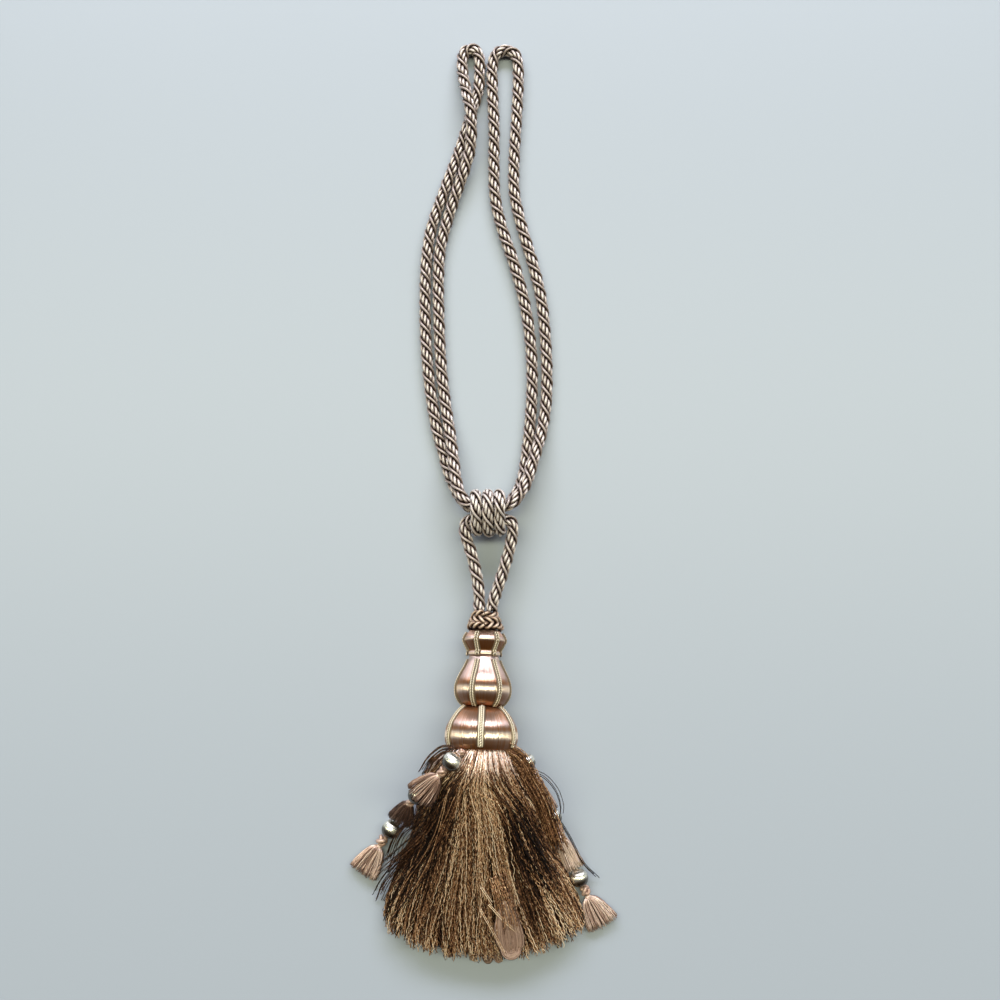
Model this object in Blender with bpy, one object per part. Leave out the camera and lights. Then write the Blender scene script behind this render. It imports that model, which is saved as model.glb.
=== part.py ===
"""A curtain tieback tassel, lying flat on a surface.

A ring of laid rope is folded into two bights and passes twice through a barrel of rope turns. A hanging
loop of the same rope passes through the barrel too, and carries the tassel: a plaited collar, a head of
three thread-covered parts (cap, vase and dome) with strips of gimp along them, and a thick cut skirt
fanned out below, with a chain of beads and small tassels lying on each side of it.

Metres, +Z up. The surface is z = 0, +X runs across the tassel, and +Y runs from the skirt to the bights.
The origin is on the surface, at the middle of the tassel without its ropes.
"""
import math

import bmesh
import bpy
from mathutils import Vector

GAP = 0.0003  # what touching pieces keep between them

# Rope
ROPE_DIAMETER = 0.0094
ROPE_RADIUS = ROPE_DIAMETER / 2
ROPE_PITCH = ROPE_DIAMETER + GAP  # from one rope to the next beside it
CURVE_STEPS = 12  # of the smooth curve, between two of a route's own points
TUBE_LONGEST_STEP = 0.028  # furthest apart that two points of a rope's tube are
TUBE_SHARPEST_TURN = math.radians(27)  # most that a rope's tube turns from point to point
HANGING_END_LENGTH = 0.0045  # straight part of the hanging loop's ends, on the collar
HANGING_END_SPREAD = 0.0050  # from the head's line to each end's

# The barrel: a tight rope's turns round three ropes, whose centres make a triangle across it
BARREL_ROPE_DIAMETER = 0.0086
BARREL_PITCH = BARREL_ROPE_DIAMETER + 0.0005
BARREL_SLANT = 0.18  # 0 is an even helix, and more of this leaves more of its advance to the underside
BARREL_MIDDLE_X = 0.0034
BARREL_Y = 0.2082
BARREL_Z = 0.01945
BARREL_HALF_DEPTH = 0.0045  # from the triangle's middle to the embrace ropes, and to the loop's rope
BARREL_CLEARANCE = (ROPE_DIAMETER + BARREL_ROPE_DIAMETER) / 2 + 0.0007  # from centre to centre
BARREL_FIRST_ANGLE = -30  # degrees from +Y, turning over the top: the ends are low at the sides
BARREL_LAST_ANGLE = 900
BARREL_MIDDLE_ANGLE = 450
BARREL_STEP = 15
EMBRACE_Y = BARREL_Y + BARREL_HALF_DEPTH
UPPER_Z = BARREL_Z + ROPE_PITCH / 2
LOWER_Z = BARREL_Z - ROPE_PITCH / 2
LOOP_Y = BARREL_Y - BARREL_HALF_DEPTH
JOIN_X = 0.0030  # where the ring's two ends meet, inside the barrel

# The head's own line, from the ropes down through collar, cap, vase and dome
HEAD_START = Vector((0.0016, 0.1328, 0.0158))
HEAD_TILT = math.radians(8.0)  # rises towards the skirt, so that dome and collar both lie low
HEAD_SWING = math.radians(1.5)
HEAD_SIDES = 24

# Outlines along the head's line: distance from its start, and radius
COLLAR_OUTLINE = (
    (0.0000, 0.0098),
    (0.0022, 0.0112),
    (0.0062, 0.0125),
    (0.0104, 0.0136),
    (0.0132, 0.0138),
    (0.0147, 0.0124),
)
CAP_OUTLINE = (
    (0.0150, 0.0112),
    (0.0186, 0.0142),
    (0.0210, 0.0153),
    (0.0228, 0.0155),
    (0.0266, 0.0137),
    (0.0302, 0.0117),
    (0.0318, 0.0122),
    (0.0334, 0.0122),
    (0.0343, 0.0114),
)
VASE_OUTLINE = (
    (0.0346, 0.0110),
    (0.0392, 0.0125),
    (0.0444, 0.0150),
    (0.0492, 0.0175),
    (0.0540, 0.0195),
    (0.0590, 0.0203),
    (0.0636, 0.0197),
    (0.0678, 0.0175),
    (0.0702, 0.0151),
    (0.0715, 0.0132),
)
DOME_OUTLINE = (
    (0.0718, 0.0130),
    (0.0731, 0.0163),
    (0.0762, 0.0199),
    (0.0800, 0.0228),
    (0.0846, 0.0254),
    (0.0894, 0.0269),
    (0.0944, 0.0274),
    (0.0990, 0.0266),
    (0.1028, 0.0247),
)
COLLAR_LOBES = 8
COLLAR_LOBE_HEIGHT = 0.0006

# Gimp: a flat braid laid along the head's parts
GIMP_COUNT = 6
GIMP_WIDTH = 0.0042
DOME_GIMP_WIDTH = 0.0056
GIMP_TOP_NARROWING = 0.0014
GIMP_THICKNESS = 0.0011
GIMP_LIFT = 0.0004  # above the part, whose sides bulge a little between the outline's points
CAP_TURN = math.radians(8)  # from the top of the head to its first strip's line, less half a space
DOME_TURN = 0.0

# The skirt, in rows across it from the dome to its cut ends. "edge" and "middle" are the row's Y at its
# sides and at its middle, and "side" is the height at which it is widest. "fullness" is 1 for an oval
# top and less for a flatter one, "below" is 1 where the underside is round and 0 where it lies flat,
# "locks" is how deep the yarn's locks are, and "notches" how far the gaps between them are cut back.
SKIRT_COLUMNS = (
    "edge", "middle", "left", "right", "side", "top", "fullness", "below", "locks", "notches"
)
SKIRT_ROWS = (
    (0.0225, 0.0180, -0.0330, 0.0252, 0.0270, 0.0530, 1.00, 0.55, 0.0004, 0.0),
    (0.0100, 0.0040, -0.0415, 0.0300, 0.0220, 0.0495, 0.75, 0.15, 0.0008, 0.0),
    (-0.0060, -0.0150, -0.0455, 0.0385, 0.0170, 0.0440, 0.75, 0.0, 0.0011, 0.0),
    (-0.0230, -0.0350, -0.0490, 0.0440, 0.0120, 0.0385, 0.85, 0.0, 0.0013, 0.0),
    (-0.0410, -0.0560, -0.0540, 0.0500, 0.0100, 0.0330, 0.80, 0.0, 0.0014, 0.0),
    (-0.0590, -0.0770, -0.0620, 0.0590, 0.0085, 0.0280, 0.80, 0.0, 0.0014, 0.0),
    (-0.0780, -0.0980, -0.0690, 0.0680, 0.0075, 0.0235, 0.80, 0.0, 0.0014, 0.0),
    (-0.0960, -0.1170, -0.0725, 0.0755, 0.0065, 0.0195, 0.80, 0.0, 0.0014, 0.0),
    (-0.1075, -0.1330, -0.0715, 0.0785, 0.0060, 0.0155, 0.80, 0.0, 0.0012, 0.0045),
)
SKIRT_START = 0.1031  # along the head's line
SKIRT_START_RADIUS = 0.0238
SKIRT_ACROSS = 36  # faces across the upper side, and as many across the lower
NOTCH_UNEVENNESS = 0.3  # share by which the notches' depths differ
LOCK_WAVES = (  # share of a lock's height, turn from one place across the skirt to the next, and offset
    (0.6, 2.1, 0.0),
    (0.4, 1.3, 1.0),
)

# An uncut hank of the skirt's yarn that lies on top of it, with a round end
HANK_LINE = (
    (0.0180, -0.0780, 0.0300),
    (0.0186, -0.0890, 0.0280),
    (0.0194, -0.1000, 0.0258),
    (0.0204, -0.1100, 0.0235),
    (0.0213, -0.1190, 0.0213),
    (0.0218, -0.1245, 0.0197),
    (0.0220, -0.1270, 0.0190),
)
HANK_HALF_WIDTHS = (0.0022, 0.0066, 0.0090, 0.0098, 0.0092, 0.0066, 0.0032)
HANK_THICKNESS = 0.0022
HANK_SIDES = 10

# Chains at the skirt's sides, each a bead, a knot and a small tassel over and over
BEADS = {
    "left_upper": ((-0.0213, 0.0261, 0.0555), 0.0070),
    "left_middle": ((-0.0477, -0.0016, 0.0356), 0.0070),
    "left_lower": ((-0.0701, -0.0331, 0.0071), 0.0070),
    "right_upper": ((0.0330, 0.0209, 0.0270), 0.0067),
    "right_middle": ((0.0537, -0.0238, 0.0069), 0.0068),
    "right_lower": ((0.0736, -0.0686, 0.0069), 0.0068),
}
KNOTS = {
    "left_top": ((-0.0145, 0.0325, 0.0530), 0.0024),
    "left_upper": ((-0.0286, 0.0184, 0.0520), 0.0036),
    "left_middle": ((-0.0531, -0.0079, 0.0283), 0.0036),
    "left_lower": ((-0.0772, -0.0421, 0.0047), 0.0044),
    "right_upper": ((0.0372, 0.0118, 0.0225), 0.0040),
    "right_middle": ((0.0573, -0.0341, 0.0043), 0.0041),
    "right_lower": ((0.0781, -0.0785, 0.0045), 0.0041),
}
SMALL_TASSEL_COLUMNS = (
    "neck", "tip", "neck_radius", "half_width", "half_thickness", "crown"  # crown: how round the cut end is
)
SMALL_TASSELS = {
    "left_upper": ((-0.0312, 0.0152, 0.0500), (-0.0450, 0.0006, 0.0472), 0.0020, 0.0113, 0.0036, 0.0042),
    "left_middle": ((-0.0547, -0.0095, 0.0242), (-0.0634, -0.0256, 0.0098), 0.0020, 0.0094, 0.0040, 0.0022),
    "left_lower": ((-0.0793, -0.0463, 0.0042), (-0.0909, -0.0653, 0.0042), 0.0022, 0.0114, 0.0040, 0.0012),
    "right_upper": ((0.0391, 0.0078, 0.0208), (0.0506, -0.0172, 0.0098), 0.0020, 0.0066, 0.0038, 0.0007),
    "right_middle": ((0.0588, -0.0382, 0.0042), (0.0701, -0.0613, 0.0042), 0.0022, 0.0080, 0.0040, 0.0010),
    "right_lower": ((0.0801, -0.0829, 0.0042), (0.0912, -0.1026, 0.0042), 0.0022, 0.0122, 0.0040, 0.0012),
}
SMALL_TASSEL_SIDES = 12
SMALL_TASSEL_PROFILE = (  # share of its length, and how far it has spread there
    (0.0, 0.0),
    (0.12, 0.30),
    (0.35, 0.58),
    (0.70, 0.84),
    (1.0, 1.0),
)

# Routes of the ropes' centrelines: hand-placed points, joined by one smooth curve
LEFT_OUTER_LEG = (
    (-0.0060, EMBRACE_Y, LOWER_Z),
    (-0.0118, 0.2140, LOWER_Z),
    (-0.0171, 0.2188, 0.0139),
    (-0.0217, 0.2262, 0.0116),
    (-0.0256, 0.2350, 0.0086),
    (-0.0293, 0.2450, 0.0060),
    (-0.0333, 0.2600, ROPE_RADIUS),
    (-0.0375, 0.2745, ROPE_RADIUS),
    (-0.0430, 0.3050, ROPE_RADIUS),
    (-0.0472, 0.3460, ROPE_RADIUS),
    (-0.0482, 0.3970, ROPE_RADIUS),
    (-0.0468, 0.4200, ROPE_RADIUS),
    (-0.0436, 0.4400, ROPE_RADIUS),
    (-0.0332, 0.4717, ROPE_RADIUS),
    (-0.0212, 0.5053, ROPE_RADIUS),
    (-0.0112, 0.5391, ROPE_RADIUS),
    (-0.0064, 0.5561, ROPE_RADIUS),
    (-0.0054, 0.5732, ROPE_RADIUS),
)
LEFT_BIGHT = (
    (-0.0057, 0.5838, ROPE_RADIUS),
    (-0.0077, 0.5887, 0.0048),
    (-0.0125, 0.5907, 0.0049),
    (-0.0173, 0.5887, 0.0049),
    (-0.0194, 0.5838, 0.0051),
)
LEFT_INNER_LEG = (
    (-0.0196, 0.5740, 0.0060),
    (-0.0178, 0.5610, 0.0088),
    (-0.0146, 0.5447, 0.0136),
    (-0.0124, 0.5343, 0.0146),
    (-0.0115, 0.5179, 0.0138),
    (-0.0127, 0.5024, 0.0115),
    (-0.0171, 0.4866, 0.0093),
    (-0.0228, 0.4707, 0.0072),
    (-0.0284, 0.4540, 0.0050),
    (-0.0330, 0.4384, ROPE_RADIUS),
    (-0.0364, 0.4218, ROPE_RADIUS),
    (-0.0376, 0.3970, ROPE_RADIUS),
    (-0.0368, 0.3600, ROPE_RADIUS),
    (-0.0344, 0.3220, ROPE_RADIUS),
    (-0.0308, 0.2940, 0.0052),
    (-0.0275, 0.2740, 0.0086),
    (-0.0250, 0.2580, 0.0126),
    (-0.0234, 0.2460, 0.0158),
    (-0.0218, 0.2350, 0.0190),
    (-0.0194, 0.2258, 0.0221),
    (-0.0158, 0.2186, 0.0240),
    (-0.0114, 0.2140, UPPER_Z),
    (-0.0060, EMBRACE_Y, UPPER_Z),
    (BARREL_MIDDLE_X, EMBRACE_Y, UPPER_Z),
)
RIGHT_OUTER_LEG = (
    (0.0130, EMBRACE_Y, UPPER_Z),
    (0.0190, 0.2142, 0.0241),
    (0.0249, 0.2190, 0.0232),
    (0.0297, 0.2262, 0.0208),
    (0.0339, 0.2345, 0.0182),
    (0.0366, 0.2440, 0.0160),
    (0.0396, 0.2540, 0.0132),
    (0.0432, 0.2660, 0.0094),
    (0.0462, 0.2790, 0.0058),
    (0.0485, 0.2945, ROPE_RADIUS),
    (0.0495, 0.3175, ROPE_RADIUS),
    (0.0482, 0.3500, ROPE_RADIUS),
    (0.0450, 0.3810, ROPE_RADIUS),
    (0.0386, 0.4090, ROPE_RADIUS),
    (0.0290, 0.4420, ROPE_RADIUS),
    (0.0232, 0.4700, ROPE_RADIUS),
    (0.0230, 0.4980, ROPE_RADIUS),
    (0.0248, 0.5310, ROPE_RADIUS),
    (0.0262, 0.5600, ROPE_RADIUS),
    (0.0262, 0.5710, ROPE_RADIUS),
)
RIGHT_BIGHT = (
    (0.0258, 0.5796, ROPE_RADIUS),
    (0.0229, 0.5868, 0.0048),
    (0.0157, 0.5898, 0.0049),
    (0.0085, 0.5868, 0.0048),
    (0.0055, 0.5796, ROPE_RADIUS),
)
RIGHT_INNER_LEG = (
    (0.0052, 0.5560, ROPE_RADIUS),
    (0.0066, 0.5240, ROPE_RADIUS),
    (0.0066, 0.4925, ROPE_RADIUS),
    (0.0076, 0.4660, ROPE_RADIUS),
    (0.0130, 0.4410, ROPE_RADIUS),
    (0.0232, 0.4100, ROPE_RADIUS),
    (0.0318, 0.3770, ROPE_RADIUS),
    (0.0363, 0.3460, ROPE_RADIUS),
    (0.0377, 0.3150, ROPE_RADIUS),
    (0.0364, 0.2860, ROPE_RADIUS),
    (0.0343, 0.2640, ROPE_RADIUS),
    (0.0322, 0.2480, 0.0058),
    (0.0300, 0.2360, 0.0086),
    (0.0266, 0.2268, 0.0116),
    (0.0224, 0.2196, 0.0137),
    (0.0176, 0.2146, LOWER_Z),
    (0.0130, EMBRACE_Y, LOWER_Z),
)
HANGING_LEFT_LEG = (
    (-0.0033, 0.1450, 0.0157),
    (-0.0046, 0.1560, 0.0163),
    (-0.0073, 0.1690, 0.0171),
    (-0.0106, 0.1810, 0.0180),
    (-0.0136, 0.1900, 0.0186),
    (-0.0146, 0.1977, 0.0191),
    (-0.0128, 0.2019, 0.0194),
    (-0.0086, LOOP_Y, BARREL_Z),
    (-0.0040, LOOP_Y, BARREL_Z),
)
HANGING_RIGHT_LEG = (
    (0.0120, LOOP_Y, BARREL_Z),
    (0.0165, LOOP_Y, BARREL_Z),
    (0.0207, 0.2019, 0.0194),
    (0.0225, 0.1977, 0.0191),
    (0.0218, 0.1900, 0.0186),
    (0.0200, 0.1810, 0.0180),
    (0.0168, 0.1690, 0.0171),
    (0.0128, 0.1560, 0.0163),
    (0.0090, 0.1450, 0.0157),
)

# Colours (linear), roughness
ROPE_FINISH = ((0.34, 0.22, 0.16), 0.45)
THREAD_FINISH = ((0.24, 0.13, 0.10), 0.30)
GIMP_FINISH = ((0.66, 0.50, 0.34), 0.40)
YARN_FINISH = ((0.16, 0.10, 0.05), 0.50)
HANK_FINISH = ((0.28, 0.17, 0.13), 0.45)
BEAD_FINISH = ((0.55, 0.50, 0.40), 0.25)
ROSE_FINISH = ((0.42, 0.22, 0.16), 0.50)


def clear_scene():
    for old in list(bpy.data.objects):
        bpy.data.objects.remove(old, do_unlink=True)


def material(name, finish):
    """A Principled material of one of the finishes above."""
    colour, roughness = finish
    made = bpy.data.materials.new(name)
    made.use_nodes = True
    shader = made.node_tree.nodes["Principled BSDF"]
    shader.inputs["Base Color"].default_value = (*colour, 1.0)
    shader.inputs["Roughness"].default_value = roughness
    shader.inputs["Metallic"].default_value = 0.0
    made.diffuse_color = (*colour, 1.0)
    return made


def loft(name, rings, finish, tip=None):
    """A closed body through rings of equally many points, with a fan of faces over each end.

    The fans meet at the middles of the first and last rings, or at the last end at its own tip.
    """
    mesh = bmesh.new()
    rows = [[mesh.verts.new(point) for point in ring] for ring in rings]
    count = len(rings[0])
    for row, following in zip(rows, rows[1:]):
        for i in range(count):
            j = (i + 1) % count
            mesh.faces.new((row[i], row[j], following[j], following[i]))
    ends = [sum((Vector(point) for point in ring), Vector()) / count for ring in (rings[0], rings[-1])]
    for point, row in ((ends[0], rows[0]), (tip or ends[1], rows[-1])):
        middle = mesh.verts.new(point)
        for i in range(count):
            mesh.faces.new((row[i], row[(i + 1) % count], middle))
    bmesh.ops.recalc_face_normals(mesh, faces=mesh.faces)
    return add_mesh(name, mesh, finish)


def add_mesh(name, mesh, finish):
    """Puts a bmesh into the scene as an object, smooth except at its sharp edges."""
    data = bpy.data.meshes.new(name)
    mesh.to_mesh(data)
    mesh.free()
    data.materials.append(material(name, finish))
    data.shade_smooth()
    data.set_sharp_from_angle(angle=math.radians(50))
    made = bpy.data.objects.new(name, data)
    bpy.context.collection.objects.link(made)
    return made


def smooth_curve(points):
    """Points along a centripetal Catmull-Rom curve that passes through all the given ones."""
    given = [Vector(point) for point in points]
    padded = [given[0] * 2 - given[1], *given, given[-1] * 2 - given[-2]]
    curve = [given[0]]
    for a, b, c, d in zip(padded, padded[1:], padded[2:], padded[3:]):
        t1 = (b - a).length ** 0.5
        t2 = t1 + (c - b).length ** 0.5
        t3 = t2 + (d - c).length ** 0.5
        for step in range(1, CURVE_STEPS + 1):
            t = t1 + (t2 - t1) * step / CURVE_STEPS
            ab = a.lerp(b, t / t1)
            bc = b.lerp(c, (t - t1) / (t2 - t1))
            cd = c.lerp(d, (t - t2) / (t3 - t2))
            abc = ab.lerp(bc, t / t2)
            bcd = bc.lerp(cd, (t - t1) / (t3 - t1))
            curve.append(abc.lerp(bcd, (t - t1) / (t2 - t1)))
    return curve


def tube_points(curve):
    """Few of a fine curve's points: close together where it bends, far apart where it is straight.

    The first and last of the route's own stretches stay whole, so that the ends keep their direction.
    """
    kept = [curve[0], curve[CURVE_STEPS]]
    inner = curve[CURVE_STEPS:-CURVE_STEPS]
    travelled = 0.0
    turned = 0.0
    for before, here, after in zip(inner, inner[1:], inner[2:]):
        travelled += (here - before).length
        turned += (here - before).angle(after - here, 0.0)
        if travelled > TUBE_LONGEST_STEP or turned > TUBE_SHARPEST_TURN:
            kept.append(here)
            travelled = 0.0
            turned = 0.0
    return [*kept, inner[-1], curve[-1]]


def tube(name, points, diameter, finish, resolution=2):
    """A round cord along straight lines between points, with closed ends."""
    curve = bpy.data.curves.new(name, "CURVE")
    curve.dimensions = "3D"
    curve.bevel_depth = diameter / 2
    curve.bevel_resolution = resolution
    curve.use_fill_caps = True
    curve.render_resolution_u = 0
    spline = curve.splines.new("POLY")
    spline.points.add(len(points) - 1)
    for place, point in zip(spline.points, points):
        place.co = (*point, 1.0)
    curve.materials.append(material(name, finish))
    made = bpy.data.objects.new(name, curve)
    bpy.context.collection.objects.link(made)
    return made


def head_axes():
    """The head's line, and the directions to its right and to its top, as unit vectors."""
    along = Vector(
        (
            -math.sin(HEAD_SWING) * math.cos(HEAD_TILT),
            -math.cos(HEAD_SWING) * math.cos(HEAD_TILT),
            math.sin(HEAD_TILT),
        )
    )
    right = Vector((math.cos(HEAD_SWING), -math.sin(HEAD_SWING), 0.0))
    return along, right, along.cross(right)


def head_point(distance, radius, angle, sideways=0.0):
    """A point of the head: angle 0 is its top and 90 degrees its right, and sideways goes round it."""
    along, right, top = head_axes()
    outwards = right * math.sin(angle) + top * math.cos(angle)
    around = right * math.cos(angle) - top * math.sin(angle)
    return HEAD_START + along * distance + outwards * radius + around * sideways


def head_angles(turn):
    return [turn + math.tau * i / HEAD_SIDES for i in range(HEAD_SIDES)]


def turned_part(name, outline, turn, finish):
    """A part of the head, turned about its line."""
    rings = [[head_point(s, r, angle) for angle in head_angles(turn)] for s, r in outline]
    return loft(name, rings, finish)


def collar():
    """The plaited collar: a turned form with two staggered rows of lobes."""
    rings = []
    for row, (s, r) in enumerate(COLLAR_OUTLINE):
        stagger = math.pi * (row // 2)
        lobed = 0.0 if row in (0, len(COLLAR_OUTLINE) - 1) else COLLAR_LOBE_HEIGHT
        ring = [
            head_point(s, r + lobed * math.cos(COLLAR_LOBES * angle + stagger), angle)
            for angle in head_angles(0.0)
        ]
        rings.append(ring)
    return loft("collar", rings, ROPE_FINISH)


def outwards(outline, distance):
    """An outline of distances and radii, moved outwards square to itself."""
    moved = []
    for i, (s, r) in enumerate(outline):
        before = outline[max(i - 1, 0)]
        after = outline[min(i + 1, len(outline) - 1)]
        run = Vector((after[0] - before[0], after[1] - before[1])).normalized()
        moved.append((s - run.y * distance, r + run.x * distance))
    return moved


def gimp_strip(name, outline, angle, width):
    """One flat braid along a part's outline, at an angle round the head."""
    rings = []
    low = outwards(outline, GIMP_LIFT)
    high = outwards(outline, GIMP_LIFT + GIMP_THICKNESS)
    for (low_s, low_r), (high_s, high_r) in list(zip(low, high))[1:-1]:
        rings.append(
            [
                head_point(low_s, low_r, angle, -width / 2),
                head_point(low_s, low_r, angle, width / 2),
                head_point(high_s, high_r, angle, (width - GIMP_TOP_NARROWING) / 2),
                head_point(high_s, high_r, angle, (GIMP_TOP_NARROWING - width) / 2),
            ]
        )
    return loft(name, rings, GIMP_FINISH)


def head():
    """Cap, vase and dome, each with its six strips of gimp."""
    half_space = math.pi / GIMP_COUNT
    parts = (
        ("cap", CAP_OUTLINE, CAP_TURN - half_space, GIMP_WIDTH),
        ("vase", VASE_OUTLINE, CAP_TURN - half_space, GIMP_WIDTH),
        ("dome", DOME_OUTLINE, DOME_TURN, DOME_GIMP_WIDTH),
    )
    for part, outline, turn, width in parts:
        turned_part(f"head_{part}", outline, turn, THREAD_FINISH)
        for i in range(GIMP_COUNT):
            gimp_strip(f"gimp_{part}_{i + 1}", outline, turn + math.tau * i / GIMP_COUNT, width)


def lock_height(place):
    """How high the yarn's locks stand at a place across the skirt, from -1 to 1, never in step."""
    return sum(share * math.cos(turn * place + offset) for share, turn, offset in LOCK_WAVES)


def skirt_ring(row):
    """One row of the skirt, from its right side over the top to its left and back underneath."""
    middle_x = (row["left"] + row["right"]) / 2
    half = (row["right"] - row["left"]) / 2
    ring = []
    for i in range(2 * SKIRT_ACROSS):
        turn = math.pi * i / SKIRT_ACROSS
        place = min(i, 2 * SKIRT_ACROSS - i)
        height = abs(math.sin(turn))
        if i <= SKIRT_ACROSS:
            z = row["side"] + (row["top"] - row["side"]) * height ** row["fullness"]
            z += row["locks"] * lock_height(place) * height
        else:
            z = row["side"] * (1 - height) * row["below"]
        y = row["edge"] + (row["middle"] - row["edge"]) * height
        if place % 2:
            y += row["notches"] * (1 + NOTCH_UNEVENNESS * math.cos(place))
        ring.append(Vector((middle_x + half * math.cos(turn), y, z)))
    return ring


def skirt():
    """The cut fringe as one comb: round under the dome, fanned and flat below at its ends."""
    first = [
        head_point(SKIRT_START, SKIRT_START_RADIUS, math.pi / 2 - math.pi * i / SKIRT_ACROSS)
        for i in range(2 * SKIRT_ACROSS)
    ]
    rows = [dict(zip(SKIRT_COLUMNS, row)) for row in SKIRT_ROWS]
    return loft("skirt", [first, *(skirt_ring(row) for row in rows)], YARN_FINISH)


def hank():
    """The flat uncut hank on the skirt: an oval section that widens and closes to a round end."""
    rings = []
    for (x, y, z), half in zip(HANK_LINE, HANK_HALF_WIDTHS):
        ring = []
        for i in range(HANK_SIDES):
            turn = math.tau * i / HANK_SIDES
            across = half * math.cos(turn)
            ring.append(Vector((x + across, y, z + HANK_THICKNESS / 2 * math.sin(turn))))
        rings.append(ring)
    return loft("uncut_hank", rings, HANK_FINISH)


def ball(name, centre, radius, finish, segments, rings):
    mesh = bmesh.new()
    bmesh.ops.create_uvsphere(mesh, u_segments=segments, v_segments=rings, radius=radius)
    made = add_mesh(name, mesh, finish)
    made.location = centre
    return made


def small_tassel(name, row):
    """A small tassel: a bound neck that opens into a flat fan of threads."""
    neck = Vector(row["neck"])
    tip = Vector(row["tip"])
    along = (tip - neck).normalized()
    across = along.cross(Vector((0, 0, 1))).normalized()
    upwards = across.cross(along)
    rings = []
    for share, spread in SMALL_TASSEL_PROFILE:
        wide = row["neck_radius"] + (row["half_width"] - row["neck_radius"]) * spread
        thick = row["neck_radius"] + (row["half_thickness"] - row["neck_radius"]) * spread
        middle = neck.lerp(tip, share)
        ring = []
        for i in range(SMALL_TASSEL_SIDES):
            turn = math.tau * i / SMALL_TASSEL_SIDES
            crown = along * (row["crown"] * share * math.sin(turn) ** 2)
            offset = across * (wide * math.cos(turn)) + upwards * (thick * math.sin(turn))
            ring.append(middle + offset + crown)
        rings.append(ring)
    return loft(name, rings, ROSE_FINISH, tip + along * row["crown"])


def chains():
    """The beads, knots and small tassels at both sides."""
    for place, (centre, radius) in BEADS.items():
        ball(f"bead_{place}", centre, radius, BEAD_FINISH, 12, 8)
    for place, (centre, radius) in KNOTS.items():
        ball(f"knot_{place}", centre, radius, ROSE_FINISH, 10, 6)
    for place, row in SMALL_TASSELS.items():
        small_tassel(f"small_tassel_{place}", dict(zip(SMALL_TASSEL_COLUMNS, row)))


def barrel_turns():
    """The rope wound round the embrace's two ropes and the hanging loop's one."""
    inner = (
        (BARREL_HALF_DEPTH, ROPE_PITCH / 2),
        (BARREL_HALF_DEPTH, -ROPE_PITCH / 2),
        (-BARREL_HALF_DEPTH, 0.0),
    )
    points = []
    for angle in range(BARREL_FIRST_ANGLE, BARREL_LAST_ANGLE + 1, BARREL_STEP):
        y = math.cos(math.radians(angle))
        z = math.sin(math.radians(angle))
        turns = (angle - BARREL_MIDDLE_ANGLE) / 360 + BARREL_SLANT * y
        nearest = max(inner, key=lambda centre: centre[0] * y + centre[1] * z)
        points.append(
            Vector(
                (
                    BARREL_MIDDLE_X + BARREL_PITCH * turns,
                    BARREL_Y + nearest[0] + BARREL_CLEARANCE * y,
                    BARREL_Z + nearest[1] + BARREL_CLEARANCE * z,
                )
            )
        )
    return points


def hanging_end(side, distance):
    """A point of the hanging loop's end that stands on the collar, on side -1 or 1."""
    return head_point(-distance, HANGING_END_SPREAD, side * math.pi / 2)


def ropes():
    """The embrace, as one ring whose ends meet inside the barrel, the hanging loop and the barrel."""
    embrace = (
        (JOIN_X - GAP / 2, EMBRACE_Y, LOWER_Z),
        *LEFT_OUTER_LEG,
        *LEFT_BIGHT,
        *LEFT_INNER_LEG,
        *RIGHT_OUTER_LEG,
        *RIGHT_BIGHT,
        *RIGHT_INNER_LEG,
        (JOIN_X + GAP / 2, EMBRACE_Y, LOWER_Z),
    )
    hanging = (
        hanging_end(-1, GAP),
        hanging_end(-1, HANGING_END_LENGTH),
        *HANGING_LEFT_LEG,
        *HANGING_RIGHT_LEG,
        hanging_end(1, HANGING_END_LENGTH),
        hanging_end(1, GAP),
    )
    tube("embrace_rope", tube_points(smooth_curve(embrace)), ROPE_DIAMETER, ROPE_FINISH)
    tube("hanging_loop", tube_points(smooth_curve(hanging)), ROPE_DIAMETER, ROPE_FINISH)
    tube("barrel_wrap", barrel_turns(), BARREL_ROPE_DIAMETER, ROPE_FINISH)


clear_scene()
ropes()
collar()
head()
skirt()
hank()
chains()
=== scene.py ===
"""The looks of a curtain tieback tassel: every piece as cord, thread and yarn, where the CAD model has it.

Metres, +Z up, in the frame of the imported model. Cords come first, then the collar, the head, the skirt
and the chains at its sides, and last the floor and the lights.
"""

import math
from math import pi, radians, tau

import bpy
import numpy as np
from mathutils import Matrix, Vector


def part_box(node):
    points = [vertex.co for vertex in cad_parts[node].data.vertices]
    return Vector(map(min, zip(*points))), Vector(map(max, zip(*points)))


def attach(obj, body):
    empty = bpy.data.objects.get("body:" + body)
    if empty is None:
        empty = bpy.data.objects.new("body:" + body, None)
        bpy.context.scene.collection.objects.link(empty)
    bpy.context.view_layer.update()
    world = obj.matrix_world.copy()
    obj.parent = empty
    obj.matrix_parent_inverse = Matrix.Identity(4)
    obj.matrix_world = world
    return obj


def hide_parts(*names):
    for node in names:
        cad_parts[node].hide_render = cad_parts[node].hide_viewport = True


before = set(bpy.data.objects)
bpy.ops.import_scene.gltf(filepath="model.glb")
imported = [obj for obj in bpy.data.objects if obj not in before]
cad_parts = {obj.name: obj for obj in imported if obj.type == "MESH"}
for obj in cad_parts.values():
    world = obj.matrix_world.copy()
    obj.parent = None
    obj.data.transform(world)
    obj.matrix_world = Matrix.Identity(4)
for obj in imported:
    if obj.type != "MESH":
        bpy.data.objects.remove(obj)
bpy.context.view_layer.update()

UP = (0.0, 0.0, 1.0)
GAP = 0.0003  # between neighbouring solids of the CAD

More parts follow.
